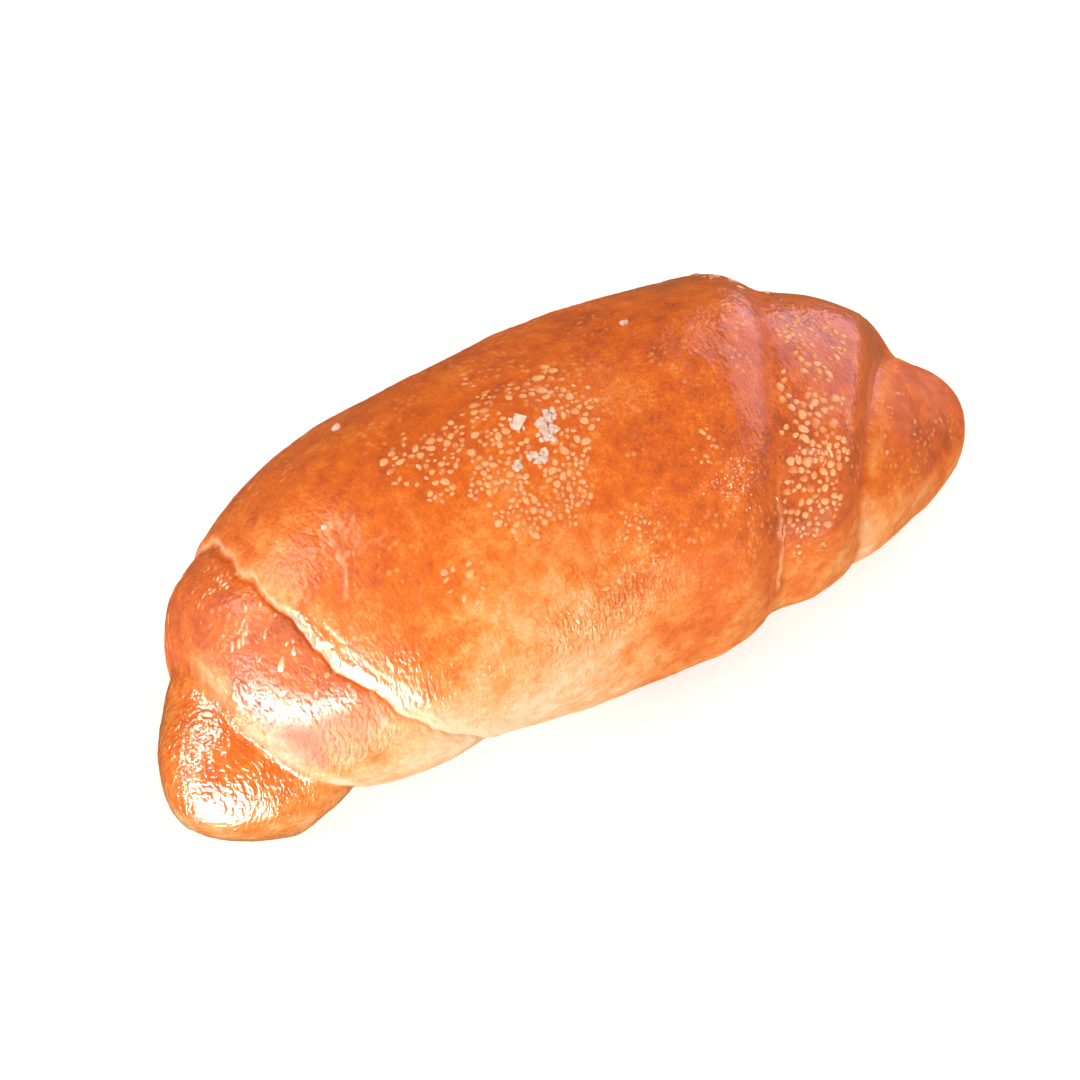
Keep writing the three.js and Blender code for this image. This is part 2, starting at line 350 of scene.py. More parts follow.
    def place(self, along: np.ndarray, around: np.ndarray, relief: np.ndarray) -> np.ndarray:
        """Returns points on the surface.

        Args:
            along: Distance down the spindle.
            around: Angle from the top towards the front.
            relief: Height above the smooth surface.

        Returns:
            Points in millimetres, shape (..., 3), before the roll is centred.
        """
        radius = np.maximum(self.radius(along, around) + relief, 0)
        angle = np.radians(around)
        level = np.clip(along, self.level_from_lobe, self.length - self.level_from_tip)
        lift = np.interp(level, self.lift_at, self.lift) * self.height_factor * self.sink
        height = lift + radius * np.cos(angle) * self.height_factor
        soft = self.floor_softness
        eased = np.maximum(height + soft, 0) ** 2 / (4 * soft)
        height = np.maximum(np.where(height > soft, height, eased) - self.tray_flat, 0)
        aside = radius * np.sin(angle) * self.width_factor
        heading = np.interp(along, self.spine_at, self.heading)
        x = np.interp(along, self.spine_at, self.spine_x) - aside * np.sin(heading)
        y = np.interp(along, self.spine_at, self.spine_y) - aside * np.cos(heading)
        return np.stack([x, y, height], axis=-1)


@dataclass(frozen=True)
class StretchLine:
    """A thin pale line where the skin stretched, through places along and round the roll."""

    path: Tuple[Tuple[float, float], ...]
    width: float = 0.32
    height: float = 0.16
    arc_radius: float = 25.0

    def share(self, along: np.ndarray, around: np.ndarray) -> np.ndarray:
        """Works out how near each place is to the line.

        Args:
            along: Distance down the spindle.
            around: Angle from the top towards the front.

        Returns:
            1 on the line, fading to 0 beside it.
        """
        place = np.stack([along, np.radians(around) * self.arc_radius], -1)
        nearest = np.full(along.shape, 1e9)
        for start, end in zip(self.path[:-1], self.path[1:]):
            a = np.array([start[0], math.radians(start[1]) * self.arc_radius])
            b = np.array([end[0], math.radians(end[1]) * self.arc_radius])
            t = np.clip(((place - a) @ (b - a)) / ((b - a) @ (b - a)), 0, 1)
            nearest = np.minimum(nearest, np.linalg.norm(place - a - t[..., None] * (b - a), axis=-1))
        return np.exp(-((nearest / self.width) ** 2))


@dataclass(frozen=True)
class Zone:
    """A soft-edged patch of the crust, by its centre and half-widths along and round the roll."""

    along: float
    half_along: float
    around: float
    half_around: float
    strength: float = 1.0

    def share(self, along: np.ndarray, around: np.ndarray) -> np.ndarray:
        """Returns the zone's strength at its centre, fading to 0 round it."""
        lengthwise = self.strength * bump(along, self.along, self.half_along)
        return lengthwise * bump(around, self.around, self.half_around)


@dataclass(frozen=True)
class Ridge:
    """A bead, or with a negative height a groove, that runs beside one of the sheet's edges."""

    inside: float
    half_width: float
    height: float

    def rise(self, inside: np.ndarray) -> np.ndarray:
        """Returns the bead's height at a distance inside the edge."""
        return self.height * bump(inside, self.inside, self.half_width)


@dataclass(frozen=True)
class Grain:
    """One kind of unevenness in the skin, by its height and the size of its lumps."""

    height: float
    size: float


# Pale lines beside the rough spot on the top, then two long faint ones on the front.
STRETCH_LINES = (
    StretchLine(
        ((29.9, 4.5), (28.9, 7.2), (28.2, 9.5), (28.3, 12.2), (27.6, 14.0), (27.4, 16.6), (26.4, 19.6))
        + ((25.0, 23.0),),
        0.26,
    ),
    StretchLine(((27.9, 14.8), (28.9, 15.2), (29.6, 16.8), (30.8, 17.4), (34.0, 18.4)), 0.2, 0.1),
    StretchLine(((31.0, 4.8), (30.2, 7.4), (30.4, 10.4), (29.0, 13.0)), 0.3, 0.1),
    StretchLine(((32.2, 9.2), (31.1, 11.0), (31.3, 13.8), (30.2, 15.4)), 0.24, 0.08),
    StretchLine(((38.6, 13.0), (38.2, 17.0), (38.3, 21.0)), 0.3, 0.03),
    StretchLine(((33.8, 27.0), (33.3, 33.0), (32.4, 39.0)), 0.4, 0.02),
)

# Where the brush left thick glaze beside the two lobe-side edges.
GLAZE_STREAKS = (
    StretchLine(((9.6, -4.0), (11.3, 12.0), (12.0, 28.0), (14.0, 38.0), (18.0, 46.0)), 1.25),
    StretchLine(
        ((19.9, 14.0), (19.9, 28.0), (20.5, 38.0), (21.8, 48.0), (24.6, 60.0), (32.0, 72.0)), 1.1
    ),
    StretchLine(((25.5, 47.0), (31.0, 58.0), (39.0, 68.0)), 1.4),
)

# The spot near the lobe where the skin tore, and the creased, freckled and shiny patches. The pale patches on
# the front are partly paler crust and partly painted highlight where the glaze sparkles.
ROUGH_SPOT = Zone(30.8, 1.8, 9.0, 6.0)
PALE_AND_HIGHLIT_ZONES = (
    Zone(54.0, 18.0, 78.0, 20.0, 0.18),
    Zone(42.0, 16.0, 42.0, 26.0, 0.12),
    Zone(48.0, 12.0, 55.0, 9.0, 0.18),
)
CREASED_ZONES = (Zone(58.0, 12.0, 68.0, 11.0, 0.9), Zone(89.0, 8.0, 48.0, 12.0, 0.5))
FRECKLED_ZONE = Zone(82.0, 15.0, 18.0, 42.0, 0.6)
SHINY_ZONES = (Zone(86.0, 6.0, 50.0, 10.0, 0.6), Zone(58.0, 10.0, 68.0, 9.0, 0.7))

# Beads and grooves beside the edges: the lip with the crease under it, the same edge where it sealed
# at the back, a second tear above the lip, the glossy bead on the tip side, and the pinched wraps.
TORN_LIP = (Ridge(0.7, 0.5, 0.12), Ridge(-0.2, 0.3, -0.5))
SEALED_EDGE = (Ridge(0.9, 0.8, 0.25), Ridge(-0.2, 0.6, -0.4))
SECOND_TEAR = (Ridge(2.5, 0.5, 0.12), Ridge(1.75, 0.25, -0.16))
TIP_BEAD = (Ridge(-1.2, 0.17, 0.26), Ridge(-0.8, 0.25, -0.2))
TIP_KNOB = Ridge(-1.3, 0.6, 0.5)
PINCHED_SEAM = Ridge(-0.3, 0.6, -0.12)


@dataclass(frozen=True)
class EdgeDistances:
    """How far places lie inside the sheet's edges, negative beyond them.

    lip and tip belong to the main wrap, and inner_lobe and inner_tip to the wrap under it.
    """

    lip: np.ndarray
    tip: np.ndarray
    inner_lobe: np.ndarray
    inner_tip: np.ndarray


@dataclass
class CrustRelief:
    """The fine forms of the baked skin: lumps, wrinkles, the torn lip and the pinched seams."""

    form: RollForm
    lumps: DoughNoise = field(default_factory=lambda: DoughNoise(3))
    wrinkles: DoughNoise = field(default_factory=lambda: DoughNoise(11))
    tear: DoughNoise = field(default_factory=lambda: DoughNoise(23))
    broad_lump: Grain = Grain(0.42, 17.0)
    small_lump: Grain = Grain(0.13, 5.5)
    wrinkle: Grain = Grain(0.09, 1.7)
    pore: Grain = Grain(0.03, 1.1)
    rough_spot: Grain = Grain(0.22, 1.2)
    lip_wander: Grain = Grain(0.55, 4.0)
    bead_wander: Grain = Grain(0.4, 2.6)
    strand: Grain = Grain(0.4, 0.9)
    line_share: float = 0.4
    end_fade_radius: float = 5.0

    def edges(self, along: np.ndarray, around: np.ndarray) -> EdgeDistances:
        """Measures how far places lie inside each edge that shows.

        Args:
            along: Distance down the spindle.
            around: Angle from the top towards the front.

        Returns:
            The distances; the lip's follows its ragged line.
        """
        form = self.form
        lip = form.past_edge(form.lobe_edge, 0, along, around)
        spot = np.stack([around * 0.35, np.zeros_like(around), np.zeros_like(around)], -1)
        lip = lip + self.lip_wander.height * self.tear.layered(spot, self.lip_wander.size, 3, 0.6)
        return EdgeDistances(
            lip,
            form.past_edge(form.tip_edge, 0, along, around),
            form.past_edge(form.lobe_edge, 1, along, around),
            form.past_edge(form.tip_edge, 1, along, around),
        )

    def lip_share(self, around: np.ndarray) -> np.ndarray:
        """Returns how torn the lobe-side edge is, by the angle round the roll."""
        return between(around, -25, 10) * (1 - between(around, 96, 112))

    def strands(self, inside: np.ndarray, around: np.ndarray) -> np.ndarray:
        """Returns the stretched strands of dough that run along the torn edge, from 0 to 1."""
        spot = np.stack([inside + 0.02 * around, around * 0.045, np.full_like(inside, 4.0)], -1)
        return smooth(self.tear.layered(spot, self.strand.size, 3, 0.6) * 1.6)

    def wave(self, around: np.ndarray) -> np.ndarray:
        """Returns how the bead beside the tip-side edge wanders, in millimetres."""
        spot = np.stack([around * 0.3, around * 0, around * 0 + 9], -1)
        return self.bead_wander.height * self.tear.layered(spot, self.bead_wander.size, 2, 0.5)

    def skin_grain(self, along: np.ndarray, around: np.ndarray, points: np.ndarray) -> np.ndarray:
        """Works out the unevenness that is all over the crust.

        Args:
            along: Distance down the spindle.
            around: Angle from the top towards the front.
            points: The smooth surface's points in millimetres.

        Returns:
            Heights in millimetres.
        """
        grain = self.broad_lump.height * self.lumps.layered(points, self.broad_lump.size, 2, 0.45)
        grain += self.small_lump.height * self.lumps.layered(points + 50, self.small_lump.size, 2, 0.5)
        # The wrinkles are long round the roll and narrow along it, as the skin was wound.
        skin = np.stack([along * 0.9, around * 0.16, points[..., 2] * 0.3], -1)
        folds = 0.5 - np.abs(self.wrinkles.layered(skin, self.wrinkle.size, 2, 0.55))
        grain += self.wrinkle.height * folds
        grain += self.pore.height * self.wrinkles.layered(points, self.pore.size, 2, 0.5)
        return grain

    def lobe_side(self, inside: np.ndarray, around: np.ndarray, points: np.ndarray) -> np.ndarray:
        """Works out the main wrap's edge over the lobe side.

        Args:
            inside: Distance inside the lip.
            around: Angle from the top towards the front.
            points: The smooth surface's points in millimetres.

        Returns:
            The heights of its rolled lip, the crease under it, the second tear above it and the strands.
        """
        torn = self.lip_share(around)
        rise = torn * sum(ridge.rise(inside) for ridge in TORN_LIP)
        back = between(around, -85, -60) * (1 - torn)
        rise += back * sum(ridge.rise(inside) for ridge in SEALED_EDGE)
        doubled = torn * between(around, 8, 20) * (1 - between(around, 52, 66))
        uneven = smooth(self.tear.layered(points + 20, 2.6, 2, 0.5) * 2 + 0.6)
        rise += doubled * uneven * sum(ridge.rise(inside) for ridge in SECOND_TEAR)
        strands = self.strands(inside, around) * between(around, 50, 72) * bump(inside, -0.5, 3.2)
        return rise + self.strand.height * strands * torn

    def eased(self, along: np.ndarray, around: np.ndarray, half: float) -> np.ndarray:
        """Works out how a step changes when it is averaged, as the dough sealed it softly.

        Args:
            along: Distance down the spindle.
            around: Angle from the top towards the front.
            half: Half the length that is averaged over, in millimetres.

        Returns:
            Heights in millimetres, to be added beside a seam.
        """
        steps = (-1.0, -0.6, -0.2, 0.2, 0.6, 1.0)
        near = [self.form.radius(np.clip(along + half * k, 0, self.form.length), around) for k in steps]
        return sum(near) / len(steps) - self.form.radius(along, around)

    def sealed_steps(self, along: np.ndarray, around: np.ndarray, edges: EdgeDistances) -> np.ndarray:
        """Softens the steps at the seams.

        Args:
            along: Distance down the spindle.
            around: Angle from the top towards the front.
            edges: Distances inside the edges.

        Returns:
            Heights in millimetres.
        """
        inner = np.maximum(bump(edges.inner_tip, 0, 1.3), bump(edges.inner_lobe, 0, 1.3))
        # The lip is sharpest on the top, where it tore.
        sealed = 0.3 + 0.7 * between(around, 30, 50) + 0.5 * (1 - between(around, -20, 0))
        softened = self.eased(along, around, 0.9) * bump(edges.tip, 0, 2.2)
        softened += self.eased(along, around, 0.5) * inner
        softened += self.eased(along, around, 0.6) * bump(edges.lip, 0, 1.4) * sealed
        return softened

    def tip_side(self, inside: np.ndarray, around: np.ndarray) -> np.ndarray:
        """Works out the thin glossy bead beside the main wrap's edge over the tip side.

        Args:
            inside: Distance inside that edge.
            around: Angle from the top towards the front.

        Returns:
            The bead's height, with the groove beside it and the knob that ends it.
        """
        front = between(around, 30, 60) * (1 - between(around, 96, 102))
        bead = front * sum(ridge.rise(inside + self.wave(around)) for ridge in TIP_BEAD)
        return bead + TIP_KNOB.rise(inside) * bump(around, 94.0, 2.2)

    def height(self, along: np.ndarray, around: np.ndarray, points: np.ndarray) -> np.ndarray:
        """Works out the relief above the smooth surface.

        Args:
            along: Distance down the spindle.
            around: Angle from the top towards the front.
            points: The smooth surface's points in millimetres.

        Returns:
            Heights in millimetres.
        """
        edges = self.edges(along, around)
        relief = self.skin_grain(along, around, points)
        relief += self.lobe_side(edges.lip, around, points)
        relief += self.sealed_steps(along, around, edges)
        relief += self.tip_side(edges.tip, around)
        relief += PINCHED_SEAM.rise(edges.inner_lobe) + PINCHED_SEAM.rise(edges.inner_tip)
        torn_skin = self.tear.layered(points, self.rough_spot.size, 2, 0.6)
        relief += self.rough_spot.height * ROUGH_SPOT.share(along, around) * torn_skin
        for line in STRETCH_LINES:
            relief += self.line_share * line.height * line.share(along, around)
        return relief * smooth(self.form.core(along) / self.end_fade_radius)

    def surface(
        self, along: np.ndarray, around: np.ndarray, extra: Optional[np.ndarray] = None
    ) -> np.ndarray:
        """Places points on the finished crust.

        Args:
            along: Distance down the spindle.
            around: Angle from the top towards the front.
            extra: Heights above the crust in millimetres, if any.

        Returns:
            Points in millimetres, shape (..., 3).
        """
        flat = self.form.place(along, around, np.zeros_like(along))
        relief = self.height(along, around, flat)
        return self.form.place(along, around, relief if extra is None else relief + extra)


@dataclass
class BlisterField:
    """A patch of the crust with blisters, by its centre, half-widths and number of blisters.

    least and most are the blisters' radii, stretch how long they may be for their width, and faint how
    much of the crust's own colour they take.
    """

    along: float
    around: float
    half_along: float
    half_around: float
    count: int
    least: float = 0.3
    most: float = 0.8
    stretch: float = 1.3
    faint: float = 0.0


@dataclass(frozen=True)
class Placement:
    """Where the frame's origin lies in the roll's own coordinates, in millimetres."""

    x: float
    y: float
    z: float

    def metres(self, points: np.ndarray) -> np.ndarray:
        """Turns the roll's millimetres into the frame's metres."""
        return (points - np.array([self.x, self.y, self.z])) * MM


def add_node(
    tree: Any, kind: str, settings: Optional[Dict[str, Any]] = None, links: Optional[Dict[Any, Any]] = None
) -> Any:
    """Adds a node with its settings and links.

    Args:
        tree: The node tree.
        kind: The node's type, such as "ShaderNodeMix".
        settings: Attributes by name, and socket values by "in:NAME" or "in:NUMBER".
        links: Output sockets by the name or number of the input they feed.

    Returns:
        The new node.
    """
    node = tree.nodes.new(kind)
    for name, value in (settings or {}).items():
        if name.startswith("in:"):
            key = name[3:]
            node.inputs[int(key) if key.isdigit() else key].default_value = value
        else:
            setattr(node, name, value)
    for key, output in (links or {}).items():
        tree.links.new(output, node.inputs[key])
    return node


def fill_ramp(node: Any, stops: Sequence[Tuple[float, str]]) -> None:
    """Sets a colour ramp's stops.

    Args:
        node: The colour ramp node.
        stops: Positions from 0 to 1 with sRGB hex colours.
    """
    ramp = node.color_ramp
    while len(ramp.elements) < len(stops):
        ramp.elements.new(0.5)
    for element, (position, colour) in zip(ramp.elements, stops):
        element.position = position
        element.color = linear(colour)


def new_material(name: str) -> Tuple[Any, Any, Any]:
    """Makes an empty node material.

    Args:
        name: The material's name.

    Returns:
        The material, its node tree and its principled shader.
    """
    material = bpy.data.materials.new(name)
    material.use_nodes = True
    tree = material.node_tree
    tree.nodes.clear()
    shader = add_node(tree, "ShaderNodeBsdfPrincipled")
    add_node(tree, "ShaderNodeOutputMaterial", links={"Surface": shader.outputs["BSDF"]})
    return material, tree, shader


def set_sockets(shader: Any, values: Dict[str, Any]) -> None:
    """Sets a shader's own values, the ones that are the same all over the surface."""
    for name, value in values.items():
        shader.inputs[name].default_value = value


class Maths(Enum):
    """The kinds of sum that a finish works out."""

    ADD = "ADD"
    SUBTRACT = "SUBTRACT"
    MULTIPLY = "MULTIPLY"


@dataclass(frozen=True)
class Sum:
    """One sum of a finish: its named result, from two numbers or earlier results."""

    result: str
    kind: Maths
    first: Union[str, float]
    second: Union[str, float]
    clamped: bool = False


@dataclass(frozen=True)
class NoiseLayer:
    """One layer of noise in a finish, by the real size of its lumps."""

    result: str
    size_mm: float
    detail: float
    rough: float = 0.55


# What the crust's mesh carries for its finish, at each corner.
MESH_VALUES = ("bake_and_painted_light", "cream", "pimple", "freckle", "crinkle", "base", "glaze")

CRUST_NOISES = (
    NoiseLayer("clouds", 7.0, 2.0, 0.5),
    NoiseLayer("patches", 2.8, 6.0, 0.74),
    NoiseLayer("specks", 0.4, 2.0),
    NoiseLayer("ragged", 1.2, 3.0),
    NoiseLayer("tray_marks", 3.0, 3.0),
    NoiseLayer("butter", 6.0, 3.0),
    NoiseLayer("pores", 0.7, 1.0, 0.5),
)

CRUST_SUMS = (
    # Browning, with painted light in its pale parts: the mesh's browning value, mottled by 7 mm clouds, 3 mm
    # patches and 0.4 mm specks.
    Sum("clouds", Maths.SUBTRACT, "clouds", 0.5),
    Sum("clouds", Maths.MULTIPLY, "clouds", 0.42),
    Sum("patches", Maths.SUBTRACT, "patches", 0.5),
    Sum("patches", Maths.MULTIPLY, "patches", 1.05),
    Sum("specks", Maths.SUBTRACT, "specks", 0.5),
    Sum("specks", Maths.MULTIPLY, "specks", 0.6),
    Sum("specks", Maths.MULTIPLY, "specks", "freckle"),
    Sum("broad", Maths.ADD, "bake_and_painted_light", "clouds"),
    Sum("mottles", Maths.ADD, "patches", "specks"),
    Sum("browned", Maths.ADD, "broad", "mottles", True),
    # Stretched dough that the glaze missed stays cream. The same cream also paints sheen on the lobe-side
    # wrap's rolled edge, and part of the highlight on the tip-side bead.
    Sum("ragged", Maths.ADD, 0.55, "ragged"),
    Sum("pale", Maths.MULTIPLY, "cream", "ragged", True),
    # Fine steam pimples half a millimetre across, paler than the skin.
    Sum("dots", Maths.SUBTRACT, 0.36, "cells"),
    Sum("dots", Maths.MULTIPLY, "dots", 5.0, True),
    Sum("pimples", Maths.MULTIPLY, "dots", "pimple", True),
    # The underside browned against the tray.
    Sum("tray_marks", Maths.ADD, 0.5, "tray_marks"),
    Sum("tray", Maths.MULTIPLY, "base", "tray_marks", True),
    # Where butter pooled, and under the glaze, the skin is smoother.
    Sum("butter", Maths.MULTIPLY, "butter", 0.3),
    Sum("glazed", Maths.MULTIPLY, "glaze", 0.34),
    Sum("dullness", Maths.SUBTRACT, "butter", "glazed"),
    # Skin relief: pores, pimples, and fine wrinkles where the mesh says that the skin is crinkled.
    Sum("pores", Maths.MULTIPLY, "pores", 0.25),
    Sum("domes", Maths.MULTIPLY, "pimples", 0.15),
    Sum("skin", Maths.ADD, "pores", "domes"),
    Sum("wrinkles", Maths.MULTIPLY, "wrinkles", "crinkle"),
    Sum("skin", Maths.ADD, "skin", "wrinkles"),
)


@dataclass(frozen=True)
class GlazedCrust:
    """Wheat crust brushed with egg and butter and baked: thin, glossy and browned unevenly.

    The browning comes from the mesh's own values, so it follows the wraps. The glaze is a clear coat that
    is thick only where the brush left it; its highlights are bright, and fine wrinkles break them up.
    """

    cream: str = "f9d8b2"
    straw: str = "f6bb84"
    gold: str = "f2984a"
    amber: str = "e67424"
    chestnut: str = "d06228"
    umber: str = "ad5228"
    base: str = "8f5222"
    pimple: str = "f3b676"
    browning_stops: Tuple[float, ...] = (0.0, 0.2, 0.42, 0.62, 0.82, 1.0)
    driest_roughness: float = 0.46
    ior: float = 1.5
    bare_specular: float = 0.12
    glaze_roughness: float = 0.1
    pimple_spacing_mm: float = 1.25
    relief_mm: float = 0.4
    scatter_mm: float = 1.2

    def make(self, name: str) -> Any:
        """Builds the material.

        Args:
            name: The material's name.

        Returns:
            The material.
        """
        material, tree, shader = new_material(name)
        place = add_node(tree, "ShaderNodeTexCoord").outputs["Object"]
        parts: Dict[str, Any] = {}
        for label in MESH_VALUES:
            value = add_node(tree, "ShaderNodeAttribute", {"attribute_name": label})
            parts[label] = value.outputs["Fac"]
        for layer in CRUST_NOISES:
            settings = {
                "in:Scale": 1.0 / (layer.size_mm * MM),
                "in:Detail": layer.detail,
                "in:Roughness": layer.rough,
            }
            noise = add_node(tree, "ShaderNodeTexNoise", settings, {"Vector": place})
            parts[layer.result] = noise.outputs["Fac"]
        spacing = {"in:Scale": 1.0 / (self.pimple_spacing_mm * MM)}
        cells = add_node(tree, "ShaderNodeTexVoronoi", spacing, {"Vector": place})
        parts["cells"] = cells.outputs["Distance"]
        # The wrinkles lie on the skin's own coordinates, which are stretched round the roll.
        laid = add_node(tree, "ShaderNodeAttribute", {"attribute_name": "skin"}).outputs["Vector"]
        folds = {"in:Scale": 1.0, "in:Detail": 1.0, "in:Roughness": 0.45, "in:Distortion": 0.4}
        parts["wrinkles"] = add_node(tree, "ShaderNodeTexNoise", folds, {"Vector": laid}).outputs["Fac"]

        for step in CRUST_SUMS:
            settings = {"operation": step.kind.value, "use_clamp": step.clamped}
            links: Dict[Any, Any] = {}
            for index, value in enumerate((step.first, step.second)):
                if isinstance(value, str):
                    links[index] = parts[value]
                else:
                    settings[f"in:{index}"] = value
            parts[step.result] = add_node(tree, "ShaderNodeMath", settings, links).outputs[0]

        self.colour(tree, shader, parts)
        dry = {"operation": Maths.ADD.value, "in:0": self.driest_roughness}
        roughness = add_node(tree, "ShaderNodeMath", dry, {1: parts["dullness"]})
        tree.links.new(roughness.outputs[0], shader.inputs["Roughness"])
        depth = {"in:Strength": 1.0, "in:Distance": self.relief_mm * MM}
        relief = add_node(tree, "ShaderNodeBump", depth, {"Height": parts["skin"]})
        tree.links.new(relief.outputs["Normal"], shader.inputs["Normal"])
        tree.links.new(relief.outputs["Normal"], shader.inputs["Coat Normal"])
        tree.links.new(parts["glaze"], shader.inputs["Coat Weight"])
        values = {
            "IOR": self.ior,
            "Specular IOR Level": self.bare_specular,
            "Coat Roughness": self.glaze_roughness,
            "Subsurface Weight": 0.12,
            "Subsurface Radius": (0.9, 0.45, 0.2),
            "Subsurface Scale": self.scatter_mm * MM,
        }
        set_sockets(shader, values)
        return material

    def colour(self, tree: Any, shader: Any, parts: Dict[str, Any]) -> None:
        """Lays the crust's colours over each other, from the browning to the tray's mark.

        Args:
            tree: The material's node tree.
            shader: Its shader.
            parts: The finish's results by name.
        """
        ramp = add_node(tree, "ShaderNodeValToRGB", links={"Fac": parts["browned"]})
        shades = (self.cream, self.straw, self.gold, self.amber, self.chestnut, self.umber)
        fill_ramp(ramp, list(zip(self.browning_stops, shades)))
        surface = ramp.outputs["Color"]
        for share, shade in (("pale", self.cream), ("pimples", self.pimple), ("tray", self.base)):
            settings = {"data_type": "RGBA", "in:7": linear(shade)}
            surface = add_node(tree, "ShaderNodeMix", settings, {0: parts[share], 6: surface}).outputs[2]
        tree.links.new(surface, shader.inputs["Base Color"])


@dataclass(frozen=True)
class BlisterSkin:
    """Thin dry skin over a steam bubble: paler than the crust, darker at its rim and a little glossy."""

    light: str = "f6b67c"
    dark: str = "e07a34"
    roughness: float = 0.36
    roughness_range: float = 0.15
    mottle_mm: float = 2.2

    def make(self, name: str) -> Any:
        """Builds the material.

        Args:
            name: The material's name.

        Returns:
            The material.
        """
        material, tree, shader = new_material(name)
        place = add_node(tree, "ShaderNodeTexCoord").outputs["Object"]
        mottle = {"in:Scale": 1.0 / (self.mottle_mm * MM), "in:Detail": 3.0}
        shade = add_node(tree, "ShaderNodeTexNoise", mottle, {"Vector": place}).outputs["Fac"]
        rim = add_node(tree, "ShaderNodeAttribute", {"attribute_name": "rim"}).outputs["Fac"]
        total = {"operation": Maths.ADD.value, "use_clamp": True}
        mixed = add_node(tree, "ShaderNodeMath", total, {0: shade, 1: rim}).outputs[0]
        ramp = add_node(tree, "ShaderNodeValToRGB", links={"Fac": mixed})
        fill_ramp(ramp, ((0.45, self.light), (1.0, self.dark)))
        tree.links.new(ramp.outputs["Color"], shader.inputs["Base Color"])
        limits = {"in:3": self.roughness, "in:4": self.roughness + self.roughness_range}
        rough = add_node(tree, "ShaderNodeMapRange", limits, {0: shade})
        tree.links.new(rough.outputs[0], shader.inputs["Roughness"])
        values = {
            "Coat Weight": 0.45,
            "Coat Roughness": 0.14,
            "Subsurface Weight": 0.15,
            "Subsurface Radius": (0.9, 0.5, 0.25),
            "Subsurface Scale": 1.0 * MM,
        }
        set_sockets(shader, values)
        return material


@dataclass(frozen=True)
class RockSalt:
    """Coarse salt crystals, half melted into the glaze: cloudy white with sharp glints."""

    clear: str = "ffece0"
    cloudy: str = "f0c8b2"
    roughness: float = 0.28
    melted_roughness: float = 0.6
    ior: float = 1.54
    vein_mm: float = 0.7

    def make(self, name: str) -> Any:
        """Builds the material.

        Args:
            name: The material's name.

        Returns:
            The material.
        """
        material, tree, shader = new_material(name)
        place = add_node(tree, "ShaderNodeTexCoord").outputs["Object"]
        fine = {"in:Scale": 1.0 / (self.vein_mm * MM), "in:Detail": 4.0}
        veins = add_node(tree, "ShaderNodeTexNoise", fine, {"Vector": place}).outputs["Fac"]
        ramp = add_node(tree, "ShaderNodeValToRGB", links={"Fac": veins})
        fill_ramp(ramp, ((0.35, self.cloudy), (0.65, self.clear)))
        tree.links.new(ramp.outputs["Color"], shader.inputs["Base Color"])
        limits = {"in:3": self.roughness, "in:4": self.melted_roughness}
        rough = add_node(tree, "ShaderNodeMapRange", limits, {0: veins})
        tree.links.new(rough.outputs[0], shader.inputs["Roughness"])
        values = {
            "IOR": self.ior,
            "Transmission Weight": 0.08,
            "Subsurface Weight": 0.3,
            "Subsurface Radius": (0.8, 0.7, 0.6),
            "Subsurface Scale": 0.8 * MM,
        }
        set_sockets(shader, values)
        return material


def make_piece(
    name: str, points: np.ndarray, faces: Sequence[Sequence[int]], material: Any, soft: bool = True
) -> Any:
    """Makes a mesh piece that stands for the frame's roll.

    Args:
        name: The piece's name.
        points: Corners in metres.
        faces: Corner numbers of each face.
        material: Its material.
        soft: Whether it is shaded smooth.

    Returns:
        The new object.
    """
    mesh = bpy.data.meshes.new(name)
    mesh.from_pydata(points.tolist(), [], [list(map(int, face)) for face in faces])
    mesh.update()
    mesh.polygons.foreach_set("use_smooth", [soft] * len(mesh.polygons))
    mesh.materials.append(material)
    piece = bpy.data.objects.new(name, mesh)
    bpy.context.scene.collection.objects.link(piece)
    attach(piece, "root")
    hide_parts(FRAME_NODE)
    return piece


def set_values(piece: Any, label: str, values: np.ndarray) -> None:
    """Stores one number for each corner of a piece's mesh."""
    layer = piece.data.attributes.new(label, "FLOAT", "POINT")
    layer.data.foreach_set("value", np.asarray(values, dtype=np.float32).ravel())


@dataclass(frozen=True)
class CrustPlaces:
    """The corners of the crust's mesh, with what the baking there depends on.

    edges holds the distances inside the sheet's edges, torn how torn the lip is at that angle, flank how
    far down the pale front flank the corner lies, a paleness partly of painted light, and on_lobe whether it
    lies on the lobe itself.
    """

    along: np.ndarray
    around: np.ndarray
    points: np.ndarray
    edges: EdgeDistances
    torn: np.ndarray
    flank: np.ndarray
    on_lobe: np.ndarray


@dataclass(frozen=True)
class Browning:
    """How dark the parts of the roll baked, from 0, cream, to 1, umber.

    even is the top's own shade. The others are added to it, or taken off where the name says pale or sheen.
    Part of the pale near the lip, on the front flank and in the front patches is painted light, and the
    rolled edge's is painted sheen.
    """

    even: float = 0.69
    drift: float = 0.1
    pale_flank: float = 0.5
    pale_back_flank: float = 0.3
    tip_half: float = 0.06
    tip_belly: float = 0.1
    pale_tip_flank: float = 0.24
    pale_lip: float = 0.05
    pale_torn_lip: float = 0.14
    pale_lip_flank: float = 0.2
    lobe_wrap: float = 0.1
    pale_lobe_wrap_flank: float = 0.17
    pale_lobe: float = 0.1
    lobe_flank: float = 0.12
    painted_sheen_rolled_edge: float = 0.34
    tip_edge: float = 0.06
    inner_tip_edge: float = 0.08
    pale_tip_seam: float = 0.22


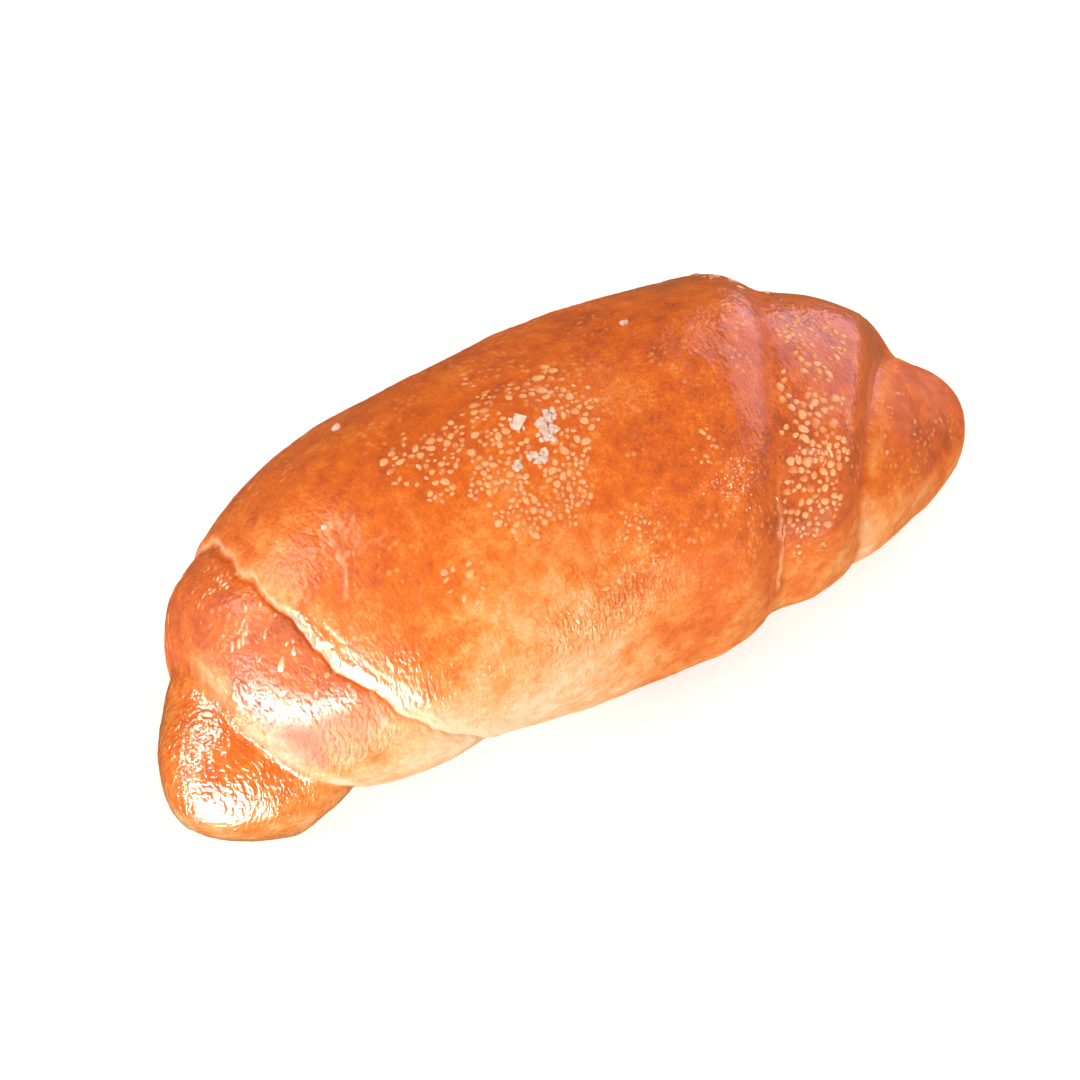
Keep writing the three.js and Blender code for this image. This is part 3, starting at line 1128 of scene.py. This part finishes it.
@dataclass
class Crust:
    """The whole skin of the roll, as one closed mesh with its browning."""

    relief: CrustRelief
    finish: GlazedCrust = field(default_factory=GlazedCrust)
    browned: Browning = field(default_factory=Browning)
    rows: int = 396
    columns: int = 240
    seam_crowding: float = 2.2
    wrinkle_length: float = 1.05
    wrinkle_width: float = 0.55
    shade: DoughNoise = field(default_factory=lambda: DoughNoise(31))

    def around_samples(self) -> np.ndarray:
        """Spaces the columns, closer together over the top and the front.

        Returns:
            The columns' angles.
        """
        fine = np.linspace(-180, 180, 721)
        density = 0.5 + 0.6 * between(fine, -75, -45) * (1 - between(fine, 125, 155))
        total = np.concatenate([[0.0], np.cumsum((density[1:] + density[:-1]) / 2)])
        return np.interp(np.arange(self.columns) / self.columns, total / total[-1], fine)

    def along_samples(self, around: np.ndarray) -> np.ndarray:
        """Spaces the rows of each column, crowded at the seams and the ends.

        Args:
            around: The columns' angles.

        Returns:
            An array of distances, rows by columns, without the two end points.
        """
        form = self.relief.form
        fine = np.linspace(0, form.length, 1351)
        grid, angle = np.meshgrid(fine, around, indexing="ij")
        density = 1.0 + 2.0 * np.exp(-grid / 2.5) + 2.0 * np.exp(-(form.length - grid) / 2.5)
        for wrap in range(3):
            for edge in (form.lobe_edge, form.tip_edge):
                reach = edge.reach(form.unwound(angle) + 360.0 * wrap)
                strength = self.seam_crowding * np.clip(reach / 8.0, 0, 1)
                density += strength * bump(form.past_edge(edge, wrap, grid, angle), 0.6, 1.6)
        steps = np.cumsum((density[1:] + density[:-1]) / 2, axis=0)
        total = np.concatenate([np.zeros((1, len(around))), steps])
        total /= total[-1]
        share = np.arange(1, self.rows) / self.rows
        return np.stack([np.interp(share, total[:, j], fine) for j in range(len(around))], axis=1)

    def baked(self, at: CrustPlaces) -> np.ndarray:
        """Works out how dark the crust baked.

        Args:
            at: The places.

        Returns:
            0 for cream to 1 for umber, not yet clipped.
        """
        brown, edges, along, around = self.browned, at.edges, at.along, at.around
        bake_and_painted_light = np.full_like(along, brown.even) + brown.drift * self.shade.layered(at.points, 22.0, 3, 0.5)
        # The front flank is paler: it browned less, and part of its paleness is painted light.
        bake_and_painted_light -= brown.pale_flank * at.flank + brown.pale_back_flank * between(around, -70, -120)
        # Pale patches on the front: paler crust, and painted highlight where the glaze sparkles.
        for zone in PALE_AND_HIGHLIT_ZONES:
            bake_and_painted_light -= zone.share(along, around)
        bake_and_painted_light += brown.tip_half * between(along, 78, 98)
        bake_and_painted_light += brown.tip_belly * bump(along, 86.0, 13.0) * between(around, 55, 80)
        bake_and_painted_light -= brown.pale_tip_flank * between(around, 68, 86) * between(along, 76, 86)
        # Near its edge over the lobe side the main wrap is paler: partly stretched dough, partly painted
        # highlight where the window gleams on its shoulder.
        over_lip = np.maximum(edges.lip, 0)
        near_lip_pale_and_highlight = brown.pale_lip + brown.pale_torn_lip * at.torn
        low_lip_pale_and_highlight = brown.pale_lip_flank * between(around, 56, 76)
        bake_and_painted_light -= (near_lip_pale_and_highlight * np.exp(-over_lip / 4.0) + low_lip_pale_and_highlight * np.exp(-over_lip / 5.0)) * (edges.lip > 0)
        # The lobe-side wrap is darker on top and paler low down, and the lobe the other way round.
        on_wrap = (edges.lip <= 0) & (edges.inner_lobe > 0)
        wrap_shade = brown.lobe_wrap - brown.pale_lobe_wrap_flank * between(around, 46, 86)
        lobe_shade = brown.lobe_flank * between(around, 45, 105) - brown.pale_lobe
        bake_and_painted_light += np.where(on_wrap, wrap_shade, 0) + np.where(at.on_lobe, lobe_shade, 0)
        # The pale band along the wrap's rolled edge over the lobe is painted sheen, where the window gleams
        # on the curled edge.
        rolled = between(around, -50, -10) * bump(edges.inner_lobe, 0.8, 0.8) * (edges.lip < 0)
        bake_and_painted_light -= brown.painted_sheen_rolled_edge * rolled
        # The crust is darker just inside the tip-side edges of the main wrap and of the wrap under it.
        bake_and_painted_light += brown.tip_edge * bump(edges.tip, 1.2, 1.3)
        bake_and_painted_light += brown.inner_tip_edge * bump(edges.inner_tip, 1.2, 1.4) * (edges.tip < 0)
        return bake_and_painted_light - brown.pale_tip_seam * bump(edges.inner_tip, -2.2, 1.9)

    def creamed(self, at: CrustPlaces) -> np.ndarray:
        """Works out where stretched dough stayed cream: the lip, the tears, the strands and the lines.

        Args:
            at: The places.

        Returns:
            The share of cream, painted sheen and highlight included, not yet clipped.
        """
        edges, torn, around, points, relief = at.edges, at.torn, at.around, at.points, self.relief
        faint = 0.35 + 0.65 * smooth(self.shade.layered(points + 70, 1.3, 2, 0.6) * 2 + 0.5)
        ragged = 0.45 + 0.75 * smooth(self.shade.layered(points + 30, 1.6, 2, 0.6) + 0.4)
        lip_width = 0.12 + 0.2 * between(around, 5, 55)
        cream = torn * ragged * bump(edges.lip, 0.15, lip_width)
        cream += 0.4 * bump(edges.lip, 0.25, 0.25) * between(around, -75, -55) * (1 - torn)
        second_tear = bump(edges.lip, 1.75, 0.25) * between(around, 14, 34)
        cream += 0.35 * torn * ragged * faint * second_tear
        strands = 0.25 + 0.75 * relief.strands(edges.lip, around)
        cream += torn * between(around, 48, 70) * strands * np.exp(-np.abs(edges.lip + 0.6) / 2.6)
        torn_skin = smooth(relief.tear.layered(points, relief.rough_spot.size, 2, 0.6) * 2)
        cream += 0.3 * ROUGH_SPOT.share(at.along, around) * torn_skin
        for line in STRETCH_LINES:
            cream += 3.0 * line.height * faint * line.share(at.along, around)
        # The cream on the tip-side bead is partly pale dough and partly painted highlight.
        front = between(around, 40, 70) * (1 - between(around, 96, 102))
        cream += 0.35 * bump(edges.tip + relief.wave(around), -1.2, 0.2) * faint * front
        # The cream stripe along the lobe-side wrap's rolled edge is painted sheen.
        edge_sheen_span = between(around, -40, -10) * (1 - between(around, 50, 75))
        return cream + 0.4 * faint * edge_sheen_span * bump(edges.inner_lobe, 0.9, 1.0) * (edges.lip < 0)

    def crinkled(self, along: np.ndarray, around: np.ndarray) -> np.ndarray:
        """Works out how strongly the skin is wrinkled, most of all at the lobe end and in two creased zones.

        Args:
            along: Distance down the spindle.
            around: Angle from the top towards the front.

        Returns:
            The strength of the fine wrinkles.
        """
        crinkle = 0.24 + 0.16 * (1 - between(along, 20, 40)) + 0.2 * (1 - between(along, 8, 14))
        crinkle += 0.1 * between(around, 40, 70) * (1 - between(along, 50, 80))
        crinkle *= 1 - 0.65 * between(around, 58, 84)
        return crinkle + sum(zone.share(along, around) for zone in CREASED_ZONES)

    def glazed(self, at: CrustPlaces) -> np.ndarray:
        """Works out how thick the brush left the glaze: most on the lobe, in streaks and on the tip side.

        Args:
            at: The places.

        Returns:
            The glaze, not yet clipped.
        """
        edges, along, around = at.edges, at.along, at.around
        streaks = np.maximum.reduce([line.share(along, around) for line in GLAZE_STREAKS])
        patchy = 0.75 + 0.5 * smooth(self.shade.layered(at.points + 40, 5.0, 2, 0.5) + 0.5)
        glaze = 0.16 * patchy + 0.75 * streaks + 0.84 * (at.on_lobe & (along < 40))
        glaze += 0.6 * between(along, 80, 90)
        # It ran off the step at the tip-side edge, the tip and the low front.
        glaze *= 1 - 0.75 * bump(edges.tip, -0.1, 1.2) * (1 - between(around, 40, 60))
        glaze *= 1 - 0.75 * between(edges.inner_tip, -0.5, -2.0)
        glaze *= 1 - 0.85 * between(around, 48, 60) * between(along, 72, 80)
        glaze += 0.6 * bump(edges.tip, -1.2, 0.6) * between(around, 40, 60)
        return glaze + sum(zone.share(along, around) for zone in SHINY_ZONES)

    def mesh_values(self, along: np.ndarray, around: np.ndarray, points: np.ndarray) -> Dict[str, np.ndarray]:
        """Works out what the finish needs to know of each place.

        Args:
            along: Distance down the spindle.
            around: Angle from the top towards the front.
            points: Points in millimetres.

        Returns:
            The values by the names in MESH_VALUES.
        """
        edges = self.relief.edges(along, around)
        # The front flank browned less and is paler; part of that paleness is painted light and reflection
        # from the low window at the lobe end, so it fades towards the tip.
        flank = between(around, 40, 100) * (1 - 0.9 * between(along, 52, 80))
        flank *= 0.75 + 0.25 * between(along, 10, 30)
        torn = self.relief.lip_share(around)
        at = CrustPlaces(along, around, points, edges, torn, flank, edges.inner_lobe <= 0)
        pimple = 0.5 * smooth(self.shade.layered(points + 90, 9.0, 2, 0.6) * 2.2)
        return {
            "bake_and_painted_light": np.clip(self.baked(at), 0, 1),
            "cream": np.clip(self.creamed(at), 0, 1),
            "pimple": pimple * (1 - 0.8 * flank),
            "freckle": 0.5 + FRECKLED_ZONE.share(along, around),
            "crinkle": self.crinkled(along, around),
            "base": between(points[..., 2], 1.6, 0.2),
            "glaze": np.clip(self.glazed(at), 0, 1),
        }

    def build(self, placement: Placement, points: np.ndarray, along: np.ndarray, around: np.ndarray) -> Any:
        """Makes the crust piece.

        Args:
            placement: Where the roll sits in the frame.
            points: The grid's points in millimetres, rows by columns.
            along: The grid's distances.
            around: The grid's angles.

        Returns:
            The new object.
        """
        form = self.relief.form
        ends = form.place(np.array([0.0, form.length]), np.zeros(2), np.zeros(2))
        rows, columns = along.shape
        corners = np.concatenate([points.reshape(-1, 3), ends])
        first = np.arange(rows * columns).reshape(rows, columns)
        after = np.roll(first, -1, axis=1)
        quads = np.stack([first[:-1], after[:-1], after[1:], first[1:]], -1).reshape(-1, 4)
        faces: List[Sequence[int]] = [tuple(q) for q in quads[:, ::-1]]
        lobe_end, tip_end = rows * columns, rows * columns + 1
        faces += [(first[0, j], after[0, j], lobe_end) for j in range(columns)]
        faces += [(after[-1, j], first[-1, j], tip_end) for j in range(columns)]
        piece = make_piece("roll_crust", placement.metres(corners), faces, self.finish.make("glazed_crust"))
        arc = np.radians(around) * form.radius(along, around)
        laid = np.stack([along / self.wrinkle_width, arc / self.wrinkle_length, along * 0], -1)
        laid = np.concatenate([laid.reshape(-1, 3), laid[0, :1], laid[-1, :1]])
        layer = piece.data.attributes.new("skin", "FLOAT_VECTOR", "POINT")
        layer.data.foreach_set("vector", laid.astype(np.float32).ravel())
        for label, values in self.mesh_values(along, around, points).items():
            at_ends = [values[0].mean(keepdims=True), values[-1].mean(keepdims=True)]
            set_values(piece, label, np.concatenate([values.ravel(), *at_ends]))
        return piece


@dataclass
class Blisters:
    """Steam blisters: low domes of dry skin, thick in some patches and rare elsewhere.

    height is a dome's height as a share of its radius. Blisters keep end_gap from the roll's ends and
    seam_gap from the seams, and merging is how near two may lie, as a share of their radii added up.
    """

    relief: CrustRelief
    finish: BlisterSkin = field(default_factory=BlisterSkin)
    height: float = 0.26
    spokes: int = 10
    rings: int = 3
    tries: int = 12
    end_gap: float = 1.5
    seam_gap: float = 0.7
    merging: float = 0.82
    rim_browning: float = 0.6
    clumps: DoughNoise = field(default_factory=lambda: DoughNoise(57))
    fields: Sequence[BlisterField] = (
        # The dense patch round the salt, from its back edge to the front.
        BlisterField(57.4, -7, 0.9, 10, 12, 0.26, 0.5),
        BlisterField(63.1, 0.5, 3.2, 7, 18, 0.42, 0.9),
        BlisterField(67.4, 1.5, 0.8, 7, 9, 0.45, 0.8),
        BlisterField(68.1, 11, 3.0, 8.8, 24, 0.36, 0.75),
        BlisterField(53.2, 6.5, 4.6, 8, 48, 0.36, 0.78),
        BlisterField(44.4, 9, 5.2, 12, 50, 0.36, 0.82),
        BlisterField(52.7, 13.5, 4.4, 6.2, 44, 0.42, 0.9),
        BlisterField(60.1, 23, 6.5, 8, 78, 0.38, 0.82),
        BlisterField(50.7, 23.5, 3.8, 6, 44, 0.36, 0.74),
        BlisterField(51.9, 32.5, 3.6, 7.5, 44, 0.34, 0.72),
        BlisterField(58.4, 35, 5.4, 7, 76, 0.34, 0.64, 1.3, 0.1),
        BlisterField(68.6, 50, 4.2, 7, 26, 0.28, 0.5, 1.3, 0.12),
        BlisterField(66.1, 57, 6.4, 9, 16, 0.3, 0.56, 1.7),
        BlisterField(39.6, 42, 3.6, 8, 7, 0.3, 0.6, 1.5),
        BlisterField(37.7, 35.5, 0.3, 0.8, 1, 0.6, 0.7),
        BlisterField(40.7, 40.0, 0.3, 0.8, 1, 0.7, 0.8),
        BlisterField(82.8, 36, 2.6, 6, 12, 0.28, 0.55, 1.3, 0.2),
        BlisterField(85, 47, 3.5, 7, 26, 0.16, 0.3, 1.2, 0.1),
        # The tip-side wrap.
        BlisterField(106.8, 3, 5.8, 12, 50, 0.45, 0.8, 1.2, 0.2),
        BlisterField(102.6, 24, 5.8, 11, 58, 0.45, 0.85, 1.2, 0.16),
        BlisterField(99.2, 45, 5.4, 11.5, 64, 0.45, 0.95, 1.2, 0.1),
        BlisterField(96.6, 62, 4.6, 12, 44, 0.4, 0.9, 1.2, 0.14),
        BlisterField(95.6, 78, 3.0, 9, 14, 0.28, 0.5, 1.3, 0.1),
        BlisterField(118, 45, 5.0, 30, 22, 0.24, 0.5, 1.3, 0.3),
        # The lobe-side wrap and the lobe.
        BlisterField(18.5, -25, 3.0, 16, 18, 0.26, 0.5, 1.3, 0.3),
        BlisterField(15.5, 5, 3.5, 16, 16, 0.26, 0.55, 1.3, 0.3),
        BlisterField(15.3, 18, 0.3, 0.8, 1, 0.6, 0.7),
        BlisterField(14, 27, 3.0, 10, 8, 0.3, 0.5, 1.3, 0.3),
        BlisterField(6.5, -14, 3.5, 26, 8, 0.25, 0.45, 1.3, 0.35),
        # Round the back.
        BlisterField(60, -75, 16, 26, 110, 0.3, 0.75),
        BlisterField(104, -60, 8, 36, 80, 0.3, 0.7),
        BlisterField(20, -80, 6, 26, 40, 0.25, 0.6, 1.4),
    )

    def scatter(self) -> np.ndarray:
        """Draws the blisters, none across a seam and few on each other.

        Returns:
            One row each: along, around, radius, stretch, turn in radians, tone and the lobes' turn.
        """
        rng = np.random.default_rng(41)
        form = self.relief.form
        seams = [(edge, wrap) for edge in (form.lobe_edge, form.tip_edge) for wrap in (0, 1)]
        kept: List[Tuple[float, ...]] = []
        centres: List[np.ndarray] = []
        for patch in self.fields:
            made = 0
            for _ in range(patch.count * self.tries):
                if made >= patch.count:
                    break
                spread, way = math.sqrt(rng.random()) ** 1.15, rng.random() * 2 * math.pi
                along = patch.along + patch.half_along * spread * math.cos(way)
                around = patch.around + patch.half_around * spread * math.sin(way)
                radius = patch.least + (patch.most - patch.least) * rng.random() ** 1.4
                if not self.end_gap < along < form.length - self.end_gap:
                    continue
                spot = np.array(along), np.array(around)
                if min(abs(float(form.past_edge(*seam, *spot))) for seam in seams) < radius + self.seam_gap:
                    continue
                centre = form.place(*spot, np.array(0.0))
                # They come in clumps about 3 mm across.
                if rng.random() > 0.7 + 2.4 * float(self.clumps.layered(centre[None], 3.4, 2, 0.5)[0]):
                    continue
                if any(np.linalg.norm(centre - c[:3]) < self.merging * (radius + c[3]) for c in centres):
                    continue
                centres.append(np.append(centre, radius))
                stretch = 1 + (patch.stretch - 1) * rng.random()
                tone = 0.5 * rng.random() ** 1.3 - 0.14 + patch.faint
                kept.append((along, around, radius, stretch, rng.normal(0, 0.6), tone, rng.random() * 6.28))
                made += 1
        return np.array(kept)

    def build(self, placement: Placement) -> Any:
        """Makes the blisters as one piece, wrapped onto the crust.

        Args:
            placement: Where the roll sits in the frame.

        Returns:
            The new object.
        """
        drawn = self.scatter()
        # One dome in its own terms: how far out each corner lies, from 0 to 1, and which way.
        ring = np.arange(1, self.rings + 1) / self.rings
        spoke = np.arange(self.spokes) / self.spokes * 2 * np.pi
        reach = np.concatenate([[0.0], np.repeat(ring, self.spokes)])
        way = np.concatenate([[0.0], np.tile(spoke, self.rings)])
        along0, around0, radius, stretch, turn, tone, lobes = (drawn[:, k : k + 1] for k in range(7))
        # Each is a little out of round, longer one way, and turned.
        reach_out = reach * (1 + 0.1 * np.cos(2 * way + lobes) + 0.08 * np.cos(3 * way + 2 * lobes))
        u = radius * stretch * reach_out * np.cos(way)
        v = radius / stretch * reach_out * np.sin(way)
        step_along = u * np.cos(turn) - v * np.sin(turn)
        step_round = u * np.sin(turn) + v * np.cos(turn)
        local = self.relief.form.radius(along0, around0)
        along = along0 + step_along
        around = around0 + np.degrees(step_round / np.maximum(local, 4.0))
        # The rim goes a little way into the crust, so no gap shows under it.
        rise = radius * self.height * (1 - reach**2.2) - 0.06 * reach**2
        points = self.relief.surface(along, around, rise)
        per = 1 + self.rings * self.spokes
        shape: List[Tuple[int, ...]] = []
        for k in range(self.spokes):
            n = (k + 1) % self.spokes
            shape.append((0, 1 + n, 1 + k))
            for r in range(self.rings - 1):
                a, b = 1 + r * self.spokes, 1 + (r + 1) * self.spokes
                shape.append((a + k, a + n, b + n, b + k))
        faces = [tuple(c + i * per for c in f) for i in range(len(drawn)) for f in shape]
        corners = placement.metres(points.reshape(-1, 3))
        piece = make_piece("roll_blisters", corners, faces, self.finish.make("blister_skin"))
        set_values(piece, "rim", (tone + self.rim_browning * reach**3 - 0.12).ravel())
        return piece


@dataclass(frozen=True)
class SaltHeap:
    """A few grains of coarse salt lying together, or one alone with its crumbs.

    least and most are the grains' sizes in millimetres.
    """

    along: float
    around: float
    half_along: float
    half_around: float
    count: int
    least: float
    most: float


@dataclass
class Salt:
    """Coarse salt on the crust: chipped cubes and crumbs, pressed a little way in.

    standing is how far a grain's middle stands above the crust, as a share of its size.
    """

    relief: CrustRelief
    finish: RockSalt = field(default_factory=RockSalt)
    standing: float = 0.2
    worn_mm: float = 0.08
    heaps: Sequence[SaltHeap] = (
        SaltHeap(58.6, 10.5, 0.1, 0.2, 1, 1.9, 2.0),
        SaltHeap(58.4, 11.0, 1.1, 2.2, 7, 0.3, 0.7),
        SaltHeap(63.6, 12.0, 0.7, 1.8, 16, 0.3, 0.85),
        SaltHeap(62.2, 14.6, 1.0, 2.2, 26, 0.3, 1.0),
        SaltHeap(61.2, 17.2, 1.0, 1.5, 14, 0.3, 0.85),
        SaltHeap(58.9, 21.5, 1.5, 1.7, 26, 0.3, 0.9),
        SaltHeap(55.3, 21.4, 0.6, 1.0, 8, 0.3, 0.8),
        SaltHeap(81.6, -13.5, 0.4, 1.0, 3, 0.5, 1.0),
        SaltHeap(40.7, -23.5, 0.4, 1.0, 3, 0.5, 1.0),
        SaltHeap(29.0, 4.5, 0.3, 0.6, 2, 0.4, 0.8),
    )

    def build(self, placement: Placement) -> Any:
        """Makes the grains as one piece.

        Args:
            placement: Where the roll sits in the frame.

        Returns:
            The new object.
        """
        rng = np.random.default_rng(7)
        cube = np.array([(x, y, z) for x in (-1, 1) for y in (-1, 1) for z in (-1, 1)], float)
        corners: List[np.ndarray] = []
        faces: List[Tuple[int, ...]] = []
        sides = ((0, 1, 3, 2), (4, 6, 7, 5), (0, 4, 5, 1), (2, 3, 7, 6), (0, 2, 6, 4), (1, 5, 7, 3))
        for heap in self.heaps:
            for _ in range(heap.count):
                along = heap.along + heap.half_along * rng.uniform(-1, 1)
                around = heap.around + heap.half_around * rng.uniform(-1, 1)
                size = rng.uniform(heap.least, heap.most)
                # The crust's own slope is read from two places beside the grain.
                spots = np.array([along, along + 0.8, along]), np.array([around, around, around + 2.0])
                here, ahead, beside = self.relief.surface(*spots)
                forward = (ahead - here) / np.linalg.norm(ahead - here)
                up = np.cross(beside - here, forward)
                up *= math.copysign(1.0, up[2]) / np.linalg.norm(up)
                ways = [up + rng.normal(0, 0.25, 3), forward + rng.normal(0, 0.8, 3), rng.normal(0, 1, 3)]
                tilt = np.linalg.qr(np.stack(ways, 1))[0]
                tilt[:, 0] *= math.copysign(1.0, float(tilt[:, 0] @ up))
                tilt[:, 2] *= math.copysign(1.0, float(np.linalg.det(tilt)))
                shape = cube * np.array([0.75, 1.0, 0.85]) * (1 + rng.uniform(-0.35, 0.25, (8, 3)))
                start = len(corners) * 8
                corners.append(here + up * size * self.standing + (shape * size / 2) @ tilt.T)
                faces += [tuple(start + c for c in side) for side in sides]
        places = placement.metres(np.concatenate(corners))
        piece = make_piece("roll_salt", places, faces, self.finish.make("rock_salt"), False)
        bevel = piece.modifiers.new("worn_edges", "BEVEL")
        bevel.width = self.worn_mm * MM
        bevel.segments = 2
        return piece


class LightKind(Enum):
    """A fill only lights the crust; a card is only mirrored in the glaze, as a reflector is."""

    FILL = "fill"
    CARD = "card"


@dataclass(frozen=True)
class StudioLight:
    """A soft rectangular light that looks at the roll.

    azimuth and elevation are its direction from the roll, in degrees as the camera's are. distance and
    size are metres, power is watts, and colour is sRGB hex.
    """

    name: str
    kind: LightKind
    azimuth: float
    elevation: float
    distance: float
    size: Tuple[float, float]
    power: float
    colour: str


# A window at the lobe end, a broad ceiling, a bluish sky behind the tip and a small warm lamp.
STUDIO_LIGHTS = (
    StudioLight("window_front", LightKind.FILL, -66, 8, 0.8, (0.46, 0.2), 3.5, "fff8f0"),
    StudioLight("window_side", LightKind.FILL, -88, 28, 0.8, (0.3, 0.3), 1.0, "fff8f0"),
    StudioLight("window_card", LightKind.CARD, -75, -4, 0.8, (0.95, 0.15), 16.0, "fffaf4"),
    StudioLight("window_card_low", LightKind.CARD, -58, -26, 0.8, (0.7, 0.46), 26.0, "fffaf4"),
    StudioLight("window_card_high", LightKind.CARD, -114, 28, 0.8, (0.34, 0.4), 9.0, "fffaf4"),
    StudioLight("ceiling", LightKind.FILL, -16, 66, 1.2, (1.3, 1.3), 10.7, "fffdfb"),
    StudioLight("sky_back", LightKind.FILL, 110, 34, 0.9, (0.9, 0.62), 3.2, "fff0e0"),
    StudioLight("sky_card", LightKind.CARD, 98, 18, 0.9, (1.1, 0.95), 6.4, "e6dafc"),
    StudioLight("lamp_right", LightKind.CARD, 33, 28, 0.8, (0.05, 0.05), 1.1, "fff6dc"),
    StudioLight("front_card", LightKind.CARD, 22, -14, 0.8, (0.24, 0.24), 3.2, "ffe6c4"),
)


def towards(azimuth: float, elevation: float) -> Vector:
    """Finds the direction from the roll to a camera or light.

    Args:
        azimuth: Degrees round from the front, towards +X.
        elevation: Degrees above the floor.

    Returns:
        A vector of length 1.
    """
    a, e = math.radians(azimuth), math.radians(elevation)
    return Vector((math.sin(a) * math.cos(e), -math.cos(a) * math.cos(e), math.sin(e)))


@dataclass
class Studio:
    """A pale floor, soft lights and a camera at the photograph's angle.

    focal_px is the focal length in pixels of a picture picture_px wide, and aim is the point that the
    camera looks at, in the roll's own millimetres.
    """

    azimuth: float = -34.8
    elevation: float = 50.0
    distance: float = 450.0
    focal_px: float = 3135.9
    picture_px: float = 1080.0
    sensor_mm: float = 36.0
    aim: Tuple[float, float, float] = (-0.79, 2.26, 14.2)
    light_aim: Tuple[float, float, float] = (0.0, 0.0, 0.02)
    floor_half: float = 3.0
    floor_glow: float = 0.66
    floor_tones: Tuple[str, str] = ("bcbcbb", "bebebe")
    sky_colour: str = "ffcc98"
    sky_strength: float = 0.24

    def camera(self, placement: Placement) -> None:
        """Makes the camera and makes it the scene's own.

        Args:
            placement: Where the roll sits in the frame.
        """
        back = towards(self.azimuth, self.elevation)
        data = bpy.data.cameras.new("studio_camera")
        data.sensor_width = self.sensor_mm
        data.lens = self.focal_px * self.sensor_mm / self.picture_px
        data.clip_start, data.clip_end = 0.01, 50.0
        camera = bpy.data.objects.new("studio_camera", data)
        bpy.context.scene.collection.objects.link(camera)
        aim = Vector(placement.metres(np.array(self.aim)).tolist())
        camera.location = aim + back * self.distance * MM
        camera.rotation_mode = "QUATERNION"
        camera.rotation_quaternion = (-back).to_track_quat("-Z", "Y")
        bpy.context.scene.camera = camera

    def light(self, plan: StudioLight) -> None:
        """Hangs one light.

        Args:
            plan: What it is and where it hangs.
        """
        back = towards(plan.azimuth, plan.elevation)
        data = bpy.data.lights.new(plan.name, "AREA")
        data.shape = "RECTANGLE"
        data.size, data.size_y = plan.size
        data.energy = plan.power
        data.color = linear(plan.colour)[:3]
        lamp = bpy.data.objects.new(plan.name, data)
        lamp.visible_glossy = plan.kind is LightKind.CARD
        lamp.visible_diffuse = plan.kind is LightKind.FILL
        lamp.visible_volume_scatter = False
        bpy.context.scene.collection.objects.link(lamp)
        lamp.location = back * plan.distance + Vector(self.light_aim)
        lamp.rotation_mode = "QUATERNION"
        lamp.rotation_quaternion = (-back).to_track_quat("-Z", "Y")

    def floor(self) -> None:
        """Lays the floor, a pale painted board that glows a little, so that it comes out plain white.

        The glaze doesn't mirror it, and it throws no shadow, so the cards may hang below it.
        """
        mesh = bpy.data.meshes.new("floor")
        half = self.floor_half
        corners = [(-half, -half, 0), (half, -half, 0), (half, half, 0), (-half, half, 0)]
        mesh.from_pydata(corners, [], [(0, 1, 2, 3)])
        material, tree, shader = new_material("pale_board")
        place = add_node(tree, "ShaderNodeTexCoord").outputs["Object"]
        tone = add_node(tree, "ShaderNodeTexNoise", {"in:Scale": 8.0}, {"Vector": place})
        ramp = add_node(tree, "ShaderNodeValToRGB", links={"Fac": tone.outputs["Fac"]})
        fill_ramp(ramp, list(zip((0.3, 0.7), self.floor_tones)))
        tree.links.new(ramp.outputs["Color"], shader.inputs["Base Color"])
        glow = {"Emission Color": linear("ffffff"), "Emission Strength": self.floor_glow}
        set_sockets(shader, {"Roughness": 0.9, **glow})
        mesh.materials.append(material)
        board = bpy.data.objects.new("floor", mesh)
        bpy.context.scene.collection.objects.link(board)
        board.visible_glossy = False
        board.visible_shadow = False

    def build(self, placement: Placement) -> None:
        """Sets up the floor, lights and camera.

        Args:
            placement: Where the roll sits in the frame.
        """
        scene = bpy.context.scene
        world = bpy.data.worlds.new("studio")
        world.use_nodes = True
        sky = world.node_tree.nodes["Background"]
        set_sockets(sky, {"Color": linear(self.sky_colour), "Strength": self.sky_strength})
        scene.world = world
        scene.view_settings.view_transform = "Standard"
        self.floor()
        for plan in STUDIO_LIGHTS:
            self.light(plan)
        self.camera(placement)


def centred_placement(points: np.ndarray) -> Placement:
    """Finds the placement that centres the crust over the frame's own roll, standing on the floor.

    Args:
        points: The crust's points in millimetres.

    Returns:
        The placement.
    """
    low, high = (np.array(corner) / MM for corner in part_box(FRAME_NODE))
    middle = (points.reshape(-1, 3).min(0) + points.reshape(-1, 3).max(0)) / 2 - (low + high) / 2
    return Placement(float(middle[0]), float(middle[1]), 0.0)


def main() -> None:
    """Builds every piece in order."""
    logging.basicConfig(level=logging.INFO, format="%(name)s: %(message)s")
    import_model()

    form = RollForm()
    relief = CrustRelief(form)
    crust = Crust(relief)
    columns = crust.around_samples()
    along = crust.along_samples(columns)
    around = np.broadcast_to(columns, along.shape).copy()
    points = relief.surface(along, around)
    placement = centred_placement(points)
    log.info("placement %.2f %.2f mm", placement.x, placement.y)

    piece = crust.build(placement, points, along, around)
    log.info("%s: %d faces", piece.name, len(piece.data.polygons))
    piece = Blisters(relief).build(placement)
    log.info("%s: %d faces", piece.name, len(piece.data.polygons))
    piece = Salt(relief).build(placement)
    log.info("%s: %d faces", piece.name, len(piece.data.polygons))
    Studio().build(placement)


if __name__ == "__main__":
    main()
